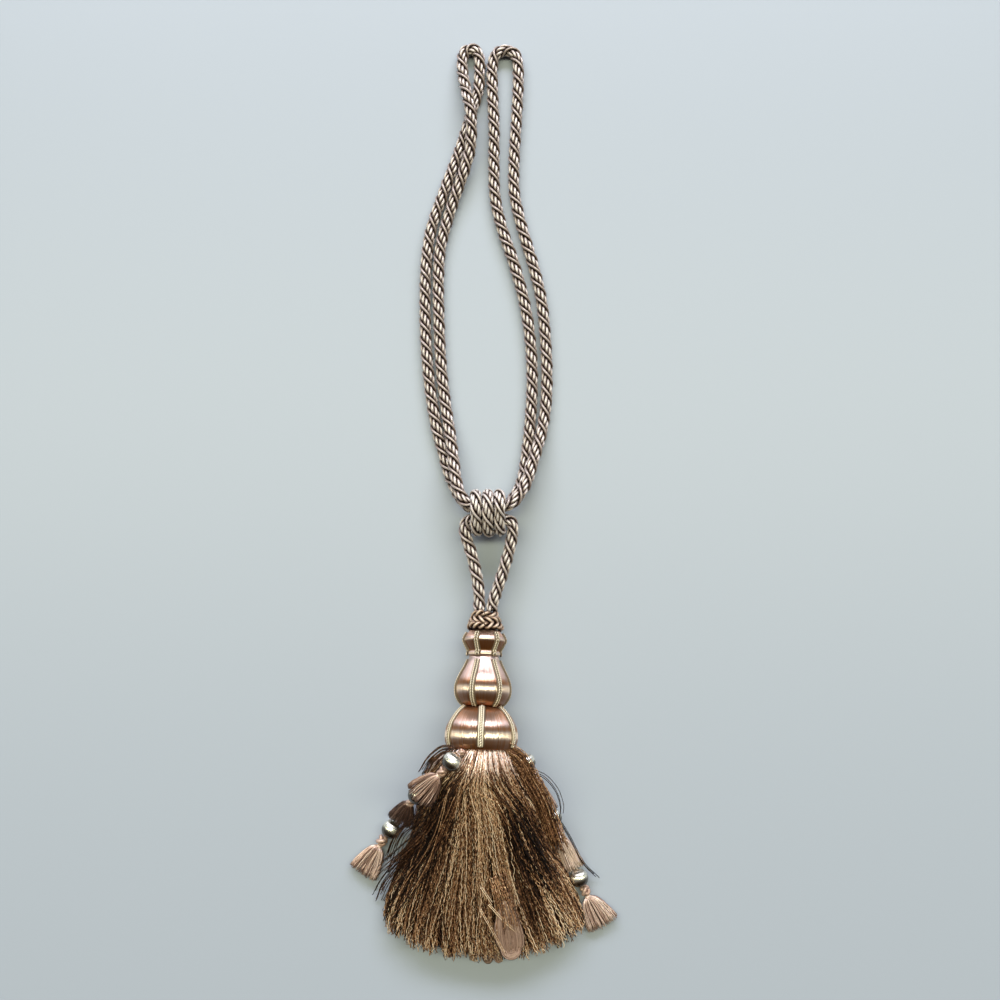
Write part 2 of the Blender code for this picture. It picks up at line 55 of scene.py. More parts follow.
# Camera
CAMERA_PLACE = (0.01717, 0.15059, 0.7893)
CAMERA_TURN = (radians(5.04), radians(0.33), radians(0.18))
CAMERA_LENS = 36.0
CAMERA_SENSOR = 36.0

# Rope: two thick strands of three plies each and two smooth cords in the grooves between them, laid in
# an S, with the plies twisted the other way
ROPE_DIAMETER = 0.0094
ROPE_LAY = 0.029  # length of one whole turn of the strands
PLY_TWIST = 0.0098  # length of one whole turn of a thick strand's plies
PLIES = 3
PLY_SIDES = 6
CORD_SIDES = 8
ROPE_STEP = 0.00112

# Sizes in the rope, as shares of its diameter
STRAND_PLACE = 0.244  # from the rope's centre to a thick strand's
STRAND_DEPTH = 0.135  # from a strand's middle to its plies' middles, in and out
STRAND_WIDTH = 0.192  # the same, sideways
PLY_RADIUS = 0.124
CORD_RADIUS = 0.116
CORD_REACH = 0.528  # from the rope's centre to the outside of a smooth cord

# Tones in the rope, as painted shade: a ply's goes from its darkest, inside the strand, up by its range
PLY_DARKEST = 0.08
PLY_RANGE = 0.98
CORD_TONE = 0.77

BARREL_ROPE_DIAMETER = 0.0086
CURVE_STEPS = 12  # between two points of a route
JOIN_X = 0.0030  # where the ring's two ends meet, inside the barrel

# The barrel's middle, and the places of the three ropes inside it
BARREL_MIDDLE_X = 0.0034
BARREL_Y = 0.2082
BARREL_Z = 0.01945
BARREL_HALF_DEPTH = 0.0045
ROPE_PITCH = ROPE_DIAMETER + GAP
EMBRACE_Y = BARREL_Y + BARREL_HALF_DEPTH
LOOP_Y = BARREL_Y - BARREL_HALF_DEPTH
UPPER_Z = BARREL_Z + ROPE_PITCH / 2
LOWER_Z = BARREL_Z - ROPE_PITCH / 2
BARREL_PITCH = BARREL_ROPE_DIAMETER + 0.0005  # from one turn to the next
BARREL_SLANT = 0.18  # how far the turns lean across the front, as a share of their pitch
BARREL_CLEARANCE = (ROPE_DIAMETER + BARREL_ROPE_DIAMETER) / 2 + 0.0007
BARREL_ANGLES = (-30, 900)  # degrees at which the winding starts and ends
BARREL_MIDDLE_ANGLE = 450
BARREL_ANGLE_STEP = 5
REST_Z = ROPE_DIAMETER / 2  # height of a centreline whose rope lies on the floor

# The head's own line
HEAD_START = np.array((0.0016, 0.1328, 0.0158))
HEAD_TILT = radians(8.0)
HEAD_SWING = radians(1.5)
HANGING_END_LENGTH = 0.0045  # how far the hanging rope's ends follow the head's line, above the collar
HANGING_END_SPREAD = 0.005  # from that line to each end

# In the tables that metres() reads, whole numbers are tenths of a millimetre.

# Outlines of the head's parts: distance from the start of the head's line, and radius
CAP_OUTLINE = (
    (150, 112), (186, 142), (210, 153), (228, 155), (266, 137), (302, 117), (318, 122), (334, 122),
    (343, 114),
)
VASE_OUTLINE = (
    (346, 110), (392, 125), (444, 150), (492, 175), (540, 195), (590, 203), (636, 197), (678, 175),
    (702, 151), (715, 132),
)
DOME_OUTLINE = (
    (718, 130), (731, 163), (762, 199), (800, 228), (846, 254), (894, 269), (944, 274), (990, 266),
    (1028, 247),
)
OUTLINE_STEPS = 5  # between two points of an outline
HEAD_SIDES = 108
HEAD_PAINTED_BANDS = (  # distance along the head's line, and how light the threads are there: painted highlight bands and painted shade
    (150, 0.35), (195, 0.4), (210, 0.8), (224, 0.8), (236, 0.1), (300, 0.0), (314, 0.8), (343, 0.85),
    (400, 0.66), (505, 0.54), (538, 0.08), (554, 0.14), (572, 0.86), (606, 0.82), (632, 0.3), (660, 0.12),
    (690, 0.26), (715, 0.08), (718, 0.14), (780, 0.2), (812, 0.4), (840, 0.66), (858, 0.44), (876, 0.08),
    (890, 0.22), (906, 0.92), (944, 0.88), (966, 0.26), (1028, 0.1),
)
COLLAR_ROWS = (  # along the head's line to each row's middle, its radius, and how often its plies turn
    (0.0028, 0.0083, 5),
    (0.0072, 0.0101, 6),
    (0.0115, 0.0115, 7),
)
COLLAR_PLIES = 2
COLLAR_PLY_REACH = 0.00150
COLLAR_CORD_RADIUS = 0.00118
COLLAR_PLY_OVAL = 1.15  # how much further the plies go along the head's line than out from it
COLLAR_ROW_PHASE = 1.9  # from each row's plies to the next's
COLLAR_STEPS = 168
COLLAR_CORE = ((0.0004, 0.0012, 0.0075, 0.0132, 0.0142), (0.004, 0.0068, 0.009, 0.0104, 0.007))
COLLAR_CORE_SIDES = 48
GIMP_COUNT = 6
GIMP_STEP = 0.00048
GIMP_TWIST = 0.0036  # length of one whole turn of a gimp's twisted cord
# Across a gimp: its twisted cords, the radius of their plies' turn, its smooth cords, and the cords of the
# dark band below them, a painted shadow
DOUBLE_GIMP = ((-0.001, 0.001), 0.0004, (), (-0.0018, -0.0009, 0.0, 0.0009, 0.0018))
DOME_GIMP = ((0.0,), 0.00052, (-0.00145, 0.00145), (-0.0023, -0.0012, 0.0, 0.0012, 0.0023))
GIMP_PLY_RADIUS = 1.15  # as a share of their turn's radius
GIMP_CORD_LIFT = 0.0009
GIMP_SMOOTH_LIFT = 0.0007
GIMP_SMOOTH_RADIUS = 0.00055
GIMP_SHADOW_LIFT = 0.0003
GIMP_SHADOW_RADIUS = 0.0006
GIMP_SIDES = 6
GIMP_END_POINTS = 3  # how many points of the smooth outline lie beyond a gimp's ends
CAP_TURN = radians(8) - pi / GIMP_COUNT  # where the gimps on cap and vase start
HEAD_PARTS = (  # name, outline, angle of the first gimp, and its kind
    ("cap", CAP_OUTLINE, CAP_TURN, DOUBLE_GIMP),
    ("vase", VASE_OUTLINE, CAP_TURN, DOUBLE_GIMP),
    ("dome", DOME_OUTLINE, 0.0, DOME_GIMP),
)

# Routes of the ropes' centrelines, as the CAD has them. Points without a height lie on the floor
EMBRACE_ROUTE = (
    (JOIN_X - GAP / 2, EMBRACE_Y, LOWER_Z),
    # left outer leg
    (-60, EMBRACE_Y, LOWER_Z), (-118, 2140, LOWER_Z), (-171, 2188, 139), (-217, 2262, 116),
    (-256, 2350, 86), (-293, 2450, 60), (-333, 2600), (-375, 2745), (-430, 3050), (-472, 3460),
    (-482, 3970), (-468, 4200), (-436, 4400), (-332, 4717), (-212, 5053), (-112, 5391), (-64, 5561),
    (-54, 5732),
    # left bight
    (-57, 5838), (-77, 5887, 48), (-125, 5907, 49), (-173, 5887, 49), (-194, 5838, 51),
    # left inner leg
    (-196, 5740, 60), (-178, 5610, 88), (-146, 5447, 136), (-124, 5343, 146), (-115, 5179, 138),
    (-127, 5024, 115), (-171, 4866, 93), (-228, 4707, 72), (-284, 4540, 50), (-330, 4384), (-364, 4218),
    (-376, 3970), (-368, 3600), (-344, 3220), (-308, 2940, 52), (-275, 2740, 86), (-250, 2580, 126),
    (-234, 2460, 158), (-218, 2350, 190), (-194, 2258, 221), (-158, 2186, 240), (-114, 2140, UPPER_Z),
    (-60, EMBRACE_Y, UPPER_Z), (BARREL_MIDDLE_X, EMBRACE_Y, UPPER_Z),
    # right outer leg
    (130, EMBRACE_Y, UPPER_Z), (190, 2142, 241), (249, 2190, 232), (297, 2262, 208), (339, 2345, 182),
    (366, 2440, 160), (396, 2540, 132), (432, 2660, 94), (462, 2790, 58), (485, 2945), (495, 3175),
    (482, 3500), (450, 3810), (386, 4090), (290, 4420), (232, 4700), (230, 4980), (248, 5310),
    (262, 5600), (262, 5710),
    # right bight
    (258, 5796), (229, 5868, 48), (157, 5898, 49), (85, 5868, 48), (55, 5796),
    # right inner leg
    (52, 5560), (66, 5240), (66, 4925), (76, 4660), (130, 4410), (232, 4100), (318, 3770), (363, 3460),
    (377, 3150), (364, 2860), (343, 2640), (322, 2480, 58), (300, 2360, 86), (266, 2268, 116),
    (224, 2196, 137), (176, 2146, LOWER_Z), (130, EMBRACE_Y, LOWER_Z),
    (JOIN_X + GAP / 2, EMBRACE_Y, LOWER_Z),
)
HANGING_ROUTE = (
    # left leg
    (-33, 1450, 157), (-46, 1560, 163), (-73, 1690, 171), (-106, 1810, 180), (-136, 1900, 186),
    (-146, 1977, 191), (-128, 2019, 194), (-86, LOOP_Y, BARREL_Z), (-40, LOOP_Y, BARREL_Z),
    # right leg
    (120, LOOP_Y, BARREL_Z), (165, LOOP_Y, BARREL_Z), (207, 2019, 194), (225, 1977, 191),
    (218, 1900, 186), (200, 1810, 180), (168, 1690, 171), (128, 1560, 163), (90, 1450, 157),
)

# The skirt's own rows, as the CAD has them, from the dome to the cut ends: y of the edge and of the
# middle, x of the left and of the right, z of the side and of the top, fullness, and how far its sides
# are drawn in below
SKIRT_ROWS = (
    (225, 180, -330, 252, 270, 530, 1.0, 0.55), (100, 40, -415, 300, 220, 495, 0.75, 0.15),
    (-60, -150, -455, 385, 170, 440, 0.75, 0.0), (-230, -350, -490, 440, 120, 385, 0.85, 0.0),
    (-410, -560, -540, 500, 100, 330, 0.8, 0.0), (-590, -770, -620, 590, 85, 280, 0.8, 0.0),
    (-780, -980, -690, 680, 75, 235, 0.8, 0.0), (-960, -1170, -725, 755, 65, 195, 0.8, 0.0),
    (-1075, -1330, -715, 785, 60, 155, 0.8, 0.0),
)
SKIRT_START = 0.1031
SKIRT_START_RADIUS = 0.0238

# Small tassels, as the CAD has them
SMALL_TASSELS = {  # neck, tip, half width, half thickness, how far its middle reaches on, and tone
    "left_upper": ((-312, 152, 500), (-450, 6, 472), 113, 36, 42, 0.42),
    "left_middle": ((-547, -95, 242), (-634, -256, 98), 94, 40, 22, 0.2),
    "left_lower": ((-793, -463, 42), (-909, -653, 42), 114, 40, 12, 0.68),
    "right_upper": ((391, 78, 208), (506, -172, 98), 66, 38, 7, 0.76),
    "right_middle": ((588, -382, 42), (701, -613, 42), 80, 40, 10, 1.1),
    "right_lower": ((801, -829, 42), (912, -1026, 42), 122, 40, 12, 0.8),
}
TASSEL_NECK = 0.0020
TASSEL_SPREAD = (  # share of the way from neck to tip, and how much of the full width is reached
    (0.0, 0.0), (0.12, 0.36), (0.35, 0.64), (0.7, 0.88), (1.0, 1.0),
)
TASSEL_COUNT = 240
TASSEL_STEPS = 8
TASSEL_THREAD_RADIUS = 0.00035
TASSEL_BINDING_SIDES = 24

# Floor and light
FLOOR_REACH = 4.0
FLOOR_COLOUR = (0.340, 0.378, 0.455)
PANEL_DISTANCE = 5.0
PANEL_TARGET = (0.0, 0.15, 0.0)
ROOM_SIDE_SHARE = 0.35  # how much lighter the room is at both sides
ROOM_STOPS = (
    (0, 0.035, 0.018, 0.008), (0.25, 0.09, 0.06, 0.04), (0.5, 0.16, 0.145, 0.13),
    (0.75, 0.25, 0.26, 0.27), (1, 0.32, 0.34, 0.37),
)


# --- numbers

def metres(table):
    """A table in metres: its whole numbers are tenths of a millimetre, and the rest stay as they are."""
    if isinstance(table, tuple):
        return tuple(metres(item) for item in table)
    return table / 10000 if isinstance(table, int) else table


def unit(vectors):
    return vectors / np.maximum(np.linalg.norm(vectors, axis=-1, keepdims=True), 1e-12)


def through(points, places):
    """A smooth curve through points (..., n, d) read at places from 0 to n - 1."""
    points = np.asarray(points, float)
    first = 2 * points[..., :1, :] - points[..., 1:2, :]
    last = 2 * points[..., -1:, :] - points[..., -2:-1, :]
    padded = np.concatenate([first, points, last], axis=-2)
    places = np.clip(np.asarray(places, float), 0, points.shape[-2] - 1)
    i = np.minimum(places.astype(int), points.shape[-2] - 2)
    u = (places - i)[..., None]
    a, b, c, d = (padded[..., i + k, :] for k in range(4))
    return 0.5 * (
        2 * b + (c - a) * u + (2 * a - 5 * b + 4 * c - d) * u**2 + (3 * b - a - 3 * c + d) * u**3
    )


def rope_curve(points):
    """Points along the same centripetal curve that the CAD's ropes follow."""
    given = [Vector(point) for point in points]
    padded = [given[0] * 2 - given[1], *given, given[-1] * 2 - given[-2]]
    curve = [given[0]]
    for a, b, c, d in zip(padded, padded[1:], padded[2:], padded[3:]):
        t1 = (b - a).length ** 0.5
        t2 = t1 + (c - b).length ** 0.5
        t3 = t2 + (d - c).length ** 0.5
        for step in range(1, CURVE_STEPS + 1):
            t = t1 + (t2 - t1) * step / CURVE_STEPS
            ab = a.lerp(b, t / t1)
            bc = b.lerp(c, (t - t1) / (t2 - t1))
            cd = c.lerp(d, (t - t2) / (t3 - t2))
            first = ab.lerp(bc, t / t2)
            last = bc.lerp(cd, (t - t1) / (t3 - t1))
            curve.append(first.lerp(last, (t - t1) / (t2 - t1)))
    return np.array([tuple(point) for point in curve])


def evenly(curve, step):
    """The curve's points again, evenly spaced, and each one's distance from its start."""
    lengths = np.concatenate([[0], np.cumsum(np.linalg.norm(np.diff(curve, axis=0), axis=1))])
    distances = np.linspace(0, lengths[-1], max(2, round(lengths[-1] / step) + 1))
    points = np.stack([np.interp(distances, lengths, curve[:, k]) for k in range(3)], axis=1)
    return points, distances


def carried_frames(points):
    """Two directions across a curve at each of its points, that don't twist about it."""
    along = unit(np.gradient(points, axis=0))
    ups = np.empty_like(points)
    up = np.array(UP)
    for i, direction in enumerate(along):
        up = up - direction * (up @ direction)
        up /= np.linalg.norm(up)
        ups[i] = up
    return ups, np.cross(along, ups)


# --- meshes

CORD_APART = 7.31  # between two cords' places in the noise, so that no two are mottled alike
COAT_IOR = 2.1
MATERIALS = {}  # by slot


def side_faces(number):
    """Faces all the way round between rows of points, from the points' numbers (..., rows, sides)."""
    following = np.roll(number, -1, axis=-1)
    corners = (number[..., :-1, :], following[..., :-1, :], following[..., 1:, :], number[..., 1:, :])
    return np.stack(corners, axis=-1).reshape(-1, 4)


def new_object(name, data):
    made = bpy.data.objects.new(name, data)
    bpy.context.scene.collection.objects.link(made)
    return made


class Shape:
    """Gathers the cords and turned forms of one piece, and then makes its mesh.

    Each point has a look: its distance along its thread, its place round or across it, and its tone.
    """

    def __init__(self):
        self.points = []
        self.looks = []
        self.faces = {}
        self.count = 0
        self.cord_count = 0

    def add(self, points, distance, place, tone, *faces):
        """Adds points (..., 3) with their looks, and faces as arrays of the points' numbers."""
        self.points.append(points.reshape(-1, 3))
        self.looks.append(np.stack(np.broadcast_arrays(distance, place, tone), axis=-1).reshape(-1, 3))
        for group in faces:
            self.faces.setdefault(group.shape[1], []).append(group + self.count)
        self.count += points.size // 3

    def cords(self, paths, radius, sides, up, tone, shade=0.0, begin=0.0):
        """Round cords with closed ends, along one path (s, 3) or several (k, s, 3).

        radius and tone may differ by cord or by point. up is the way out of the piece, shade is painted
        shade: how much darker the far side is, and begin is the distance along the thread where the paths
        start.
        """
        paths = paths.reshape(-1, *paths.shape[-2:])
        k, s, _ = paths.shape
        radius = np.broadcast_to(radius, (k, s))
        tone = np.broadcast_to(tone, (k, s))
        along = unit(np.gradient(paths, axis=1))
        normal = unit(up - along * np.sum(up * along, axis=-1, keepdims=True))
        across = np.cross(along, normal)
        turn = np.arange(sides) * tau / sides
        ring = np.sin(turn)[:, None] * normal[:, :, None] - np.cos(turn)[:, None] * across[:, :, None]
        points = paths[:, :, None] + ring * radius[:, :, None, None]
        steps = np.linalg.norm(np.diff(paths, axis=1), axis=-1)
        distance = begin + np.concatenate([np.zeros((k, 1)), np.cumsum(steps, axis=1)], axis=1)
        place = turn / tau + (self.cord_count + np.arange(k))[:, None, None] * CORD_APART
        self.cord_count += k
        shaded = tone[:, :, None] - shade * (1 - np.sin(turn)) / 2
        number = np.arange(k * s * sides).reshape(k, s, sides)
        ends = (number[:, 0, ::-1], number[:, -1])
        self.add(points, distance[:, :, None], place, shaded, side_faces(number), *ends)

    def turned(self, start, along, right, distances, radii, sides, tone):
        """A form turned about a line, with its seam underneath. tone may differ by row."""
        distances = np.asarray(distances)
        radii = np.asarray(radii)
        turn = pi + np.arange(sides) * tau / sides
        outwards = np.sin(turn)[:, None] * right + np.cos(turn)[:, None] * np.cross(along, right)
        points = start + distances[:, None, None] * along + radii[:, None, None] * outwards
        run = np.concatenate([[0], np.cumsum(np.hypot(np.diff(distances), np.diff(radii)))])
        tone = np.broadcast_to(tone, len(run))
        number = np.arange(len(run) * sides).reshape(-1, sides)
        ends = (number[:1, ::-1], number[-1:])
        self.add(points, run[:, None], np.arange(sides) / sides, tone[:, None], side_faces(number), *ends)

    def piece(self, name, cad_node, slot):
        """Makes the mesh, rides it on the root body and hides the CAD node that it stands for."""
        points = np.concatenate(self.points)
        looks = np.concatenate(self.looks)
        groups = [np.concatenate(group) for group in self.faces.values()]
        corners = np.concatenate([group.ravel() for group in groups]).astype(np.int32)
        sizes = np.concatenate([np.full(len(group), group.shape[1]) for group in groups])
        starts = np.concatenate([[0], np.cumsum(sizes)[:-1]]).astype(np.int32)
        mesh = bpy.data.meshes.new(name)
        mesh.vertices.add(len(points))
        mesh.vertices.foreach_set("co", points.astype(np.float32).ravel())
        mesh.loops.add(len(corners))
        mesh.loops.foreach_set("vertex_index", corners)
        mesh.polygons.add(len(sizes))
        mesh.polygons.foreach_set("loop_start", starts)
        mesh.update(calc_edges=True)
        mesh.shade_smooth()
        look = mesh.attributes.new("look", "FLOAT_VECTOR", "POINT")
        look.data.foreach_set("vector", looks.astype(np.float32).ravel())
        uv = mesh.uv_layers.new(name="thread")
        uv.data.foreach_set("uv", looks[corners][:, (1, 0)].astype(np.float32).ravel())
        mesh.materials.append(MATERIALS[slot])
        made = new_object(name, mesh)
        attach(made, "root")
        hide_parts(cad_node)
        return made


# --- materials

def plug(tree, made, inputs):
    """Sets a node's inputs to values, or links them from other nodes' outputs."""
    for socket, value in inputs.items():
        if isinstance(value, bpy.types.NodeSocket):
            tree.links.new(value, made.inputs[socket])
        else:
            made.inputs[socket].default_value = value


def node(tree, kind, inputs=None, **settings):
    made = tree.nodes.new(kind)
    for key, value in settings.items():
        setattr(made, key, value)
    plug(tree, made, inputs or {})
    return made


def maths(tree, operation, a, b):
    return node(tree, "ShaderNodeMath", {0: a, 1: b}, operation=operation).outputs[0]


def vector_maths(tree, operation, *values):
    return node(tree, "ShaderNodeVectorMath", dict(enumerate(values)), operation=operation).outputs[0]


def ramp(tree, factor, stops):
    """A colour ramp from stops, each a place and a linear colour."""
    made = node(tree, "ShaderNodeValToRGB", {"Fac": factor})
    elements = made.color_ramp.elements
    while len(elements) < len(stops):
        elements.new(0.5)
    for element, (place, *colour) in zip(elements, stops):
        element.position = place
        element.color = (*colour, 1.0)
    return made.outputs["Color"]


def scaled_noise(tree, look, scale, detail=2.0):
    """Noise that follows the thread: scale is along it and round it."""
    place = vector_maths(tree, "MULTIPLY", look, (*scale, 0.0))
    inputs = {"Vector": place, "Scale": 1.0, "Detail": detail}
    return node(tree, "ShaderNodeTexNoise", inputs).outputs["Fac"]


def about_zero(tree, noise, reach):
    """Noise from 0 to 1, moved to lie from -reach to reach."""
    return maths(tree, "MULTIPLY", maths(tree, "SUBTRACT", noise, 0.5), reach * 2)


def round_thread(tree):
    """The direction round the thread, from the piece's uv layer."""
    return node(tree, "ShaderNodeTangent", direction_type="UV_MAP", uv_map="thread").outputs[0]


def leaning_normal(tree, look, lean, scale):
    """The normal, leaning along the thread by a different amount from thread to thread."""
    normal = node(tree, "ShaderNodeNewGeometry").outputs["Normal"]
    along = vector_maths(tree, "CROSS_PRODUCT", normal, round_thread(tree))
    amount = about_zero(tree, scaled_noise(tree, look, scale), lean)
    return vector_maths(tree, "NORMALIZE", vector_maths(tree, "MULTIPLY_ADD", along, amount, normal))


def tinted_start(tree, colour, distance, tint, length):
    """The colour multiplied by a tint where the thread starts, fading out over a length."""
    near = maths(tree, "SUBTRACT", 1.0, maths(tree, "DIVIDE", distance, length))
    share = node(tree, "ShaderNodeClamp", {0: near}).outputs[0]
    inputs = {0: share, 1: colour, 2: (*tint, 1.0)}
    return node(tree, "ShaderNodeMixRGB", inputs, blend_type="MULTIPLY").outputs[0]


def thread_material(
    slot, stops, mottle, roughness, metallic=0.0, specular=0.5, bump=None, coat=None, lean=None,
    anisotropic=0.0, start_tint=None,
):
    """Makes a slot's thread or yarn, whose tone chooses its colour from the stops.

    mottle is the scale of the noise that moves the tone, and how far it does. bump is the scale of its
    noise and its height, and coat is a weight and a roughness. lean is how unevenly the threads lie, as a
    slope along them that makes their highlights jagged, and the scale of that. start_tint is the colour
    that the thread's own is multiplied by where it starts, and the length over which that fades.
    """
    material = bpy.data.materials.new(slot)
    MATERIALS[slot] = material
    material.use_nodes = True
    tree = material.node_tree
    look = node(tree, "ShaderNodeAttribute", attribute_name="look").outputs["Vector"]
    parts = node(tree, "ShaderNodeSeparateXYZ", {0: look}).outputs
    scale, share = mottle
    shift = about_zero(tree, scaled_noise(tree, look, scale), share)
    colour = ramp(tree, maths(tree, "ADD", parts["Z"], shift), stops)
    if start_tint:
        colour = tinted_start(tree, colour, parts["X"], *start_tint)
    inputs = {
        "Base Color": colour, "Roughness": roughness, "Metallic": metallic,
        "Specular IOR Level": specular, "Anisotropic": anisotropic,
    }
    if anisotropic:
        inputs["Tangent"] = round_thread(tree)
    if coat:
        inputs |= {"Coat Weight": coat[0], "Coat Roughness": coat[1], "Coat IOR": COAT_IOR}
    if lean:
        inputs["Normal"] = leaning_normal(tree, look, *lean)
    if bump:
        scale, height = bump
        noise = scaled_noise(tree, look, scale, detail=1.0)
        uneven = {"Height": noise, "Distance": height, "Strength": 1.0}
        if lean:
            uneven["Normal"] = inputs["Normal"]
        inputs["Normal"] = node(tree, "ShaderNodeBump", uneven).outputs[0]
    plug(tree, tree.nodes["Principled BSDF"], inputs)


SMOOTH_CORD = {
    "mottle": ((250, 3), 0.12), "bump": ((150, 14), 0.00012),
    "roughness": 0.38, "metallic": 0.25, "specular": 0.7,
}

thread_material(
    "rope",
    ((0, 0.01, 0.004, 0.003), (0.3, 0.068, 0.041, 0.033), (0.6, 0.262, 0.197, 0.181),
     (1, 0.78, 0.71, 0.69)),
    **SMOOTH_CORD,
)
thread_material(
    "plaited_cord",
    ((0, 0.012, 0.004, 0.002), (0.3, 0.085, 0.04, 0.022), (0.6, 0.27, 0.17, 0.118),
     (1, 0.74, 0.59, 0.47)),
    **SMOOTH_CORD,
)
thread_material(
    "head_thread",
    ((0, 0.35, 0.125, 0.026), (0.3, 0.38, 0.205, 0.124), (0.6, 0.51, 0.355, 0.3),
     (1, 0.78, 0.62, 0.55)),
    mottle=((12, 170), 0.35), roughness=0.36, metallic=0.9, specular=1,
    bump=((6, 260), 0.00018), coat=(0.25, 0.25), lean=(0.16, (8, 150)), anisotropic=1,
)
thread_material(
    "gimp",
    ((0, 0.045, 0.026, 0.014), (0.45, 0.3, 0.215, 0.13), (0.75, 0.64, 0.55, 0.41),
     (1, 0.9, 0.83, 0.7)),
    mottle=((400, 2), 0.15), roughness=0.36, metallic=0.25, specular=0.7,
)
thread_material(
    "yarn",
    ((0, 0.007, 0.003, 0.0018), (0.25, 0.068, 0.028, 0.014), (0.5, 0.25, 0.115, 0.055),
     (0.75, 0.61, 0.338, 0.176), (1, 1, 0.77, 0.54)),
    # the strong mottle along each strand paints glints: painted highlights on the yarn
    mottle=((620, 1), 0.8), roughness=0.33, metallic=0.35, specular=0.8,
    start_tint=((1.45, 1.6, 2.4), 0.026),
)
thread_material(
    "hank_yarn",
    ((0, 0.03, 0.016, 0.012), (0.5, 0.315, 0.198, 0.156), (1, 0.64, 0.48, 0.4)),
    mottle=((150, 1), 0.15), roughness=0.42,
)
thread_material(
    "bead_thread",
    ((0, 0.055, 0.038, 0.022), (0.5, 0.4, 0.36, 0.28), (1, 0.92, 0.9, 0.83)),
    mottle=((30, 90), 0.2), roughness=0.25, metallic=0.95, specular=1,
    bump=((20, 110), 0.00006), coat=(0.6, 0.2), lean=(0.08, (40, 70)), anisotropic=1,
)
thread_material(
    "rose_thread",
    ((0, 0.022, 0.009, 0.007), (0.3, 0.15, 0.076, 0.056), (0.6, 0.42, 0.253, 0.196),
     (1, 0.92, 0.73, 0.63)),
    mottle=((200, 2), 0.2), roughness=0.38, metallic=0.3, specular=0.8,
)


def camera():
    data = bpy.data.cameras.new("camera")
    data.lens = CAMERA_LENS
    data.sensor_width = CAMERA_SENSOR
    made = new_object("camera", data)
    made.location = CAMERA_PLACE
    made.rotation_euler = CAMERA_TURN
    bpy.context.scene.camera = made


# --- ropes

def turning(angle, first, second):
    """Directions or offsets that turn from the first to the second."""
    return np.cos(angle)[:, None] * first + np.sin(angle)[:, None] * second


def laid_rope(shape, curve, diameter, phase=0.0, light=1.0):
    """Adds a laid rope along a curve, and returns the evenly spaced points of its centreline.

    light makes all of the rope's tones lighter or darker, as painted light and shade.
    """
    centre, distance = evenly(curve, ROPE_STEP)
    up, side = carried_frames(centre)
    lay = phase - tau * distance / ROPE_LAY
    for half in (0, pi):
        outwards = turning(lay + half, up, side)
        strand = centre + outwards * (diameter * STRAND_PLACE)
        strand_side = unit(np.cross(unit(np.gradient(strand, axis=0)), outwards))
        for ply in range(PLIES):
            twist = tau * (distance / PLY_TWIST + ply / PLIES)
            path = strand + turning(
                twist, outwards * (diameter * STRAND_DEPTH), strand_side * (diameter * STRAND_WIDTH)
            )
            # painted shade: each ply is darkest where it turns into the strand
            tone = light * (PLY_DARKEST + PLY_RANGE * ((1 + np.cos(twist)) / 2))
            shape.cords(path, diameter * PLY_RADIUS, PLY_SIDES, outwards, tone, shade=0.9)
        outwards = turning(lay + half + pi / 2, up, side)
        path = centre + outwards * (diameter * CORD_REACH - diameter * CORD_RADIUS)
        shape.cords(path, diameter * CORD_RADIUS, CORD_SIDES, outwards, light * CORD_TONE, shade=0.8)
    return centre


def barrel_curve():
    """The winding's centreline, round the three ropes inside it: two at one side and one at the other."""
    inner = (
        (BARREL_HALF_DEPTH, ROPE_PITCH / 2), (BARREL_HALF_DEPTH, -ROPE_PITCH / 2), (-BARREL_HALF_DEPTH, 0.0)
    )
    points = []
    for angle in range(BARREL_ANGLES[0], BARREL_ANGLES[1] + 1, BARREL_ANGLE_STEP):
        y = math.cos(radians(angle))
        z = math.sin(radians(angle))
        turns = (angle - BARREL_MIDDLE_ANGLE) / 360 + BARREL_SLANT * y
        nearest = max(inner, key=lambda centre: centre[0] * y + centre[1] * z)
        points.append(
            (
                BARREL_MIDDLE_X + BARREL_PITCH * turns,
                BARREL_Y + nearest[0] + BARREL_CLEARANCE * y,
                BARREL_Z + nearest[1] + BARREL_CLEARANCE * z,
            )
        )
    return np.array(points)


def length_of(points):
    return float(np.linalg.norm(np.diff(points, axis=0), axis=1).sum())


def route_of(table):
    """A route's points in metres, where those without a height lie on the floor."""
    return tuple(point if len(point) == 3 else (*point, REST_Z) for point in metres(table))


def rope_piece(name, cad_node, curve, diameter, phase=0.0, light=1.0):
    """One rope as a piece, and the points of its centreline."""
    shape = Shape()
    centre = laid_rope(shape, curve, diameter, phase, light)
    return shape.piece(name, cad_node, "rope"), centre


def free_rope(name, cad_node, route, phase=0.0, light=1.0, **more):
    """A rope that lies free, along a route."""
    made, centre = rope_piece(name, cad_node, rope_curve(route), ROPE_DIAMETER, phase, light)


def ropes():
    # painted light on the barrel wrap, whose lower half faces away from the lamps
    barrel, _ = rope_piece(
        "barrel_rope", "barrel_wrap", barrel_curve(), BARREL_ROPE_DIAMETER, phase=0.6, light=1.2
    )
    # painted shade: the embrace ring is a little darker
    free_rope(
        "embrace_ring", "embrace_rope", route_of(EMBRACE_ROUTE), light=0.95, with_pieces=[barrel]
    )
    left_end, left_stem, right_end, right_stem = (
        tuple(head_point(distance, HANGING_END_SPREAD, side * pi / 2))
        for side in (-1, 1)
        for distance in (-GAP, -HANGING_END_LENGTH)
    )
    hanging_route = (left_end, left_stem, *metres(HANGING_ROUTE), right_stem, right_end)
    free_rope("hanging_rope", "hanging_loop", hanging_route, phase=1.0)


# --- collar and head

def head_axes():
    """Directions along the head towards its dome, to its right, and to its top."""
    along = np.array(
        (
            -math.sin(HEAD_SWING) * math.cos(HEAD_TILT),
            -math.cos(HEAD_SWING) * math.cos(HEAD_TILT),
            math.sin(HEAD_TILT),
        )
    )
    right = np.array((math.cos(HEAD_SWING), -math.sin(HEAD_SWING), 0.0))
    return along, right, np.cross(along, right)


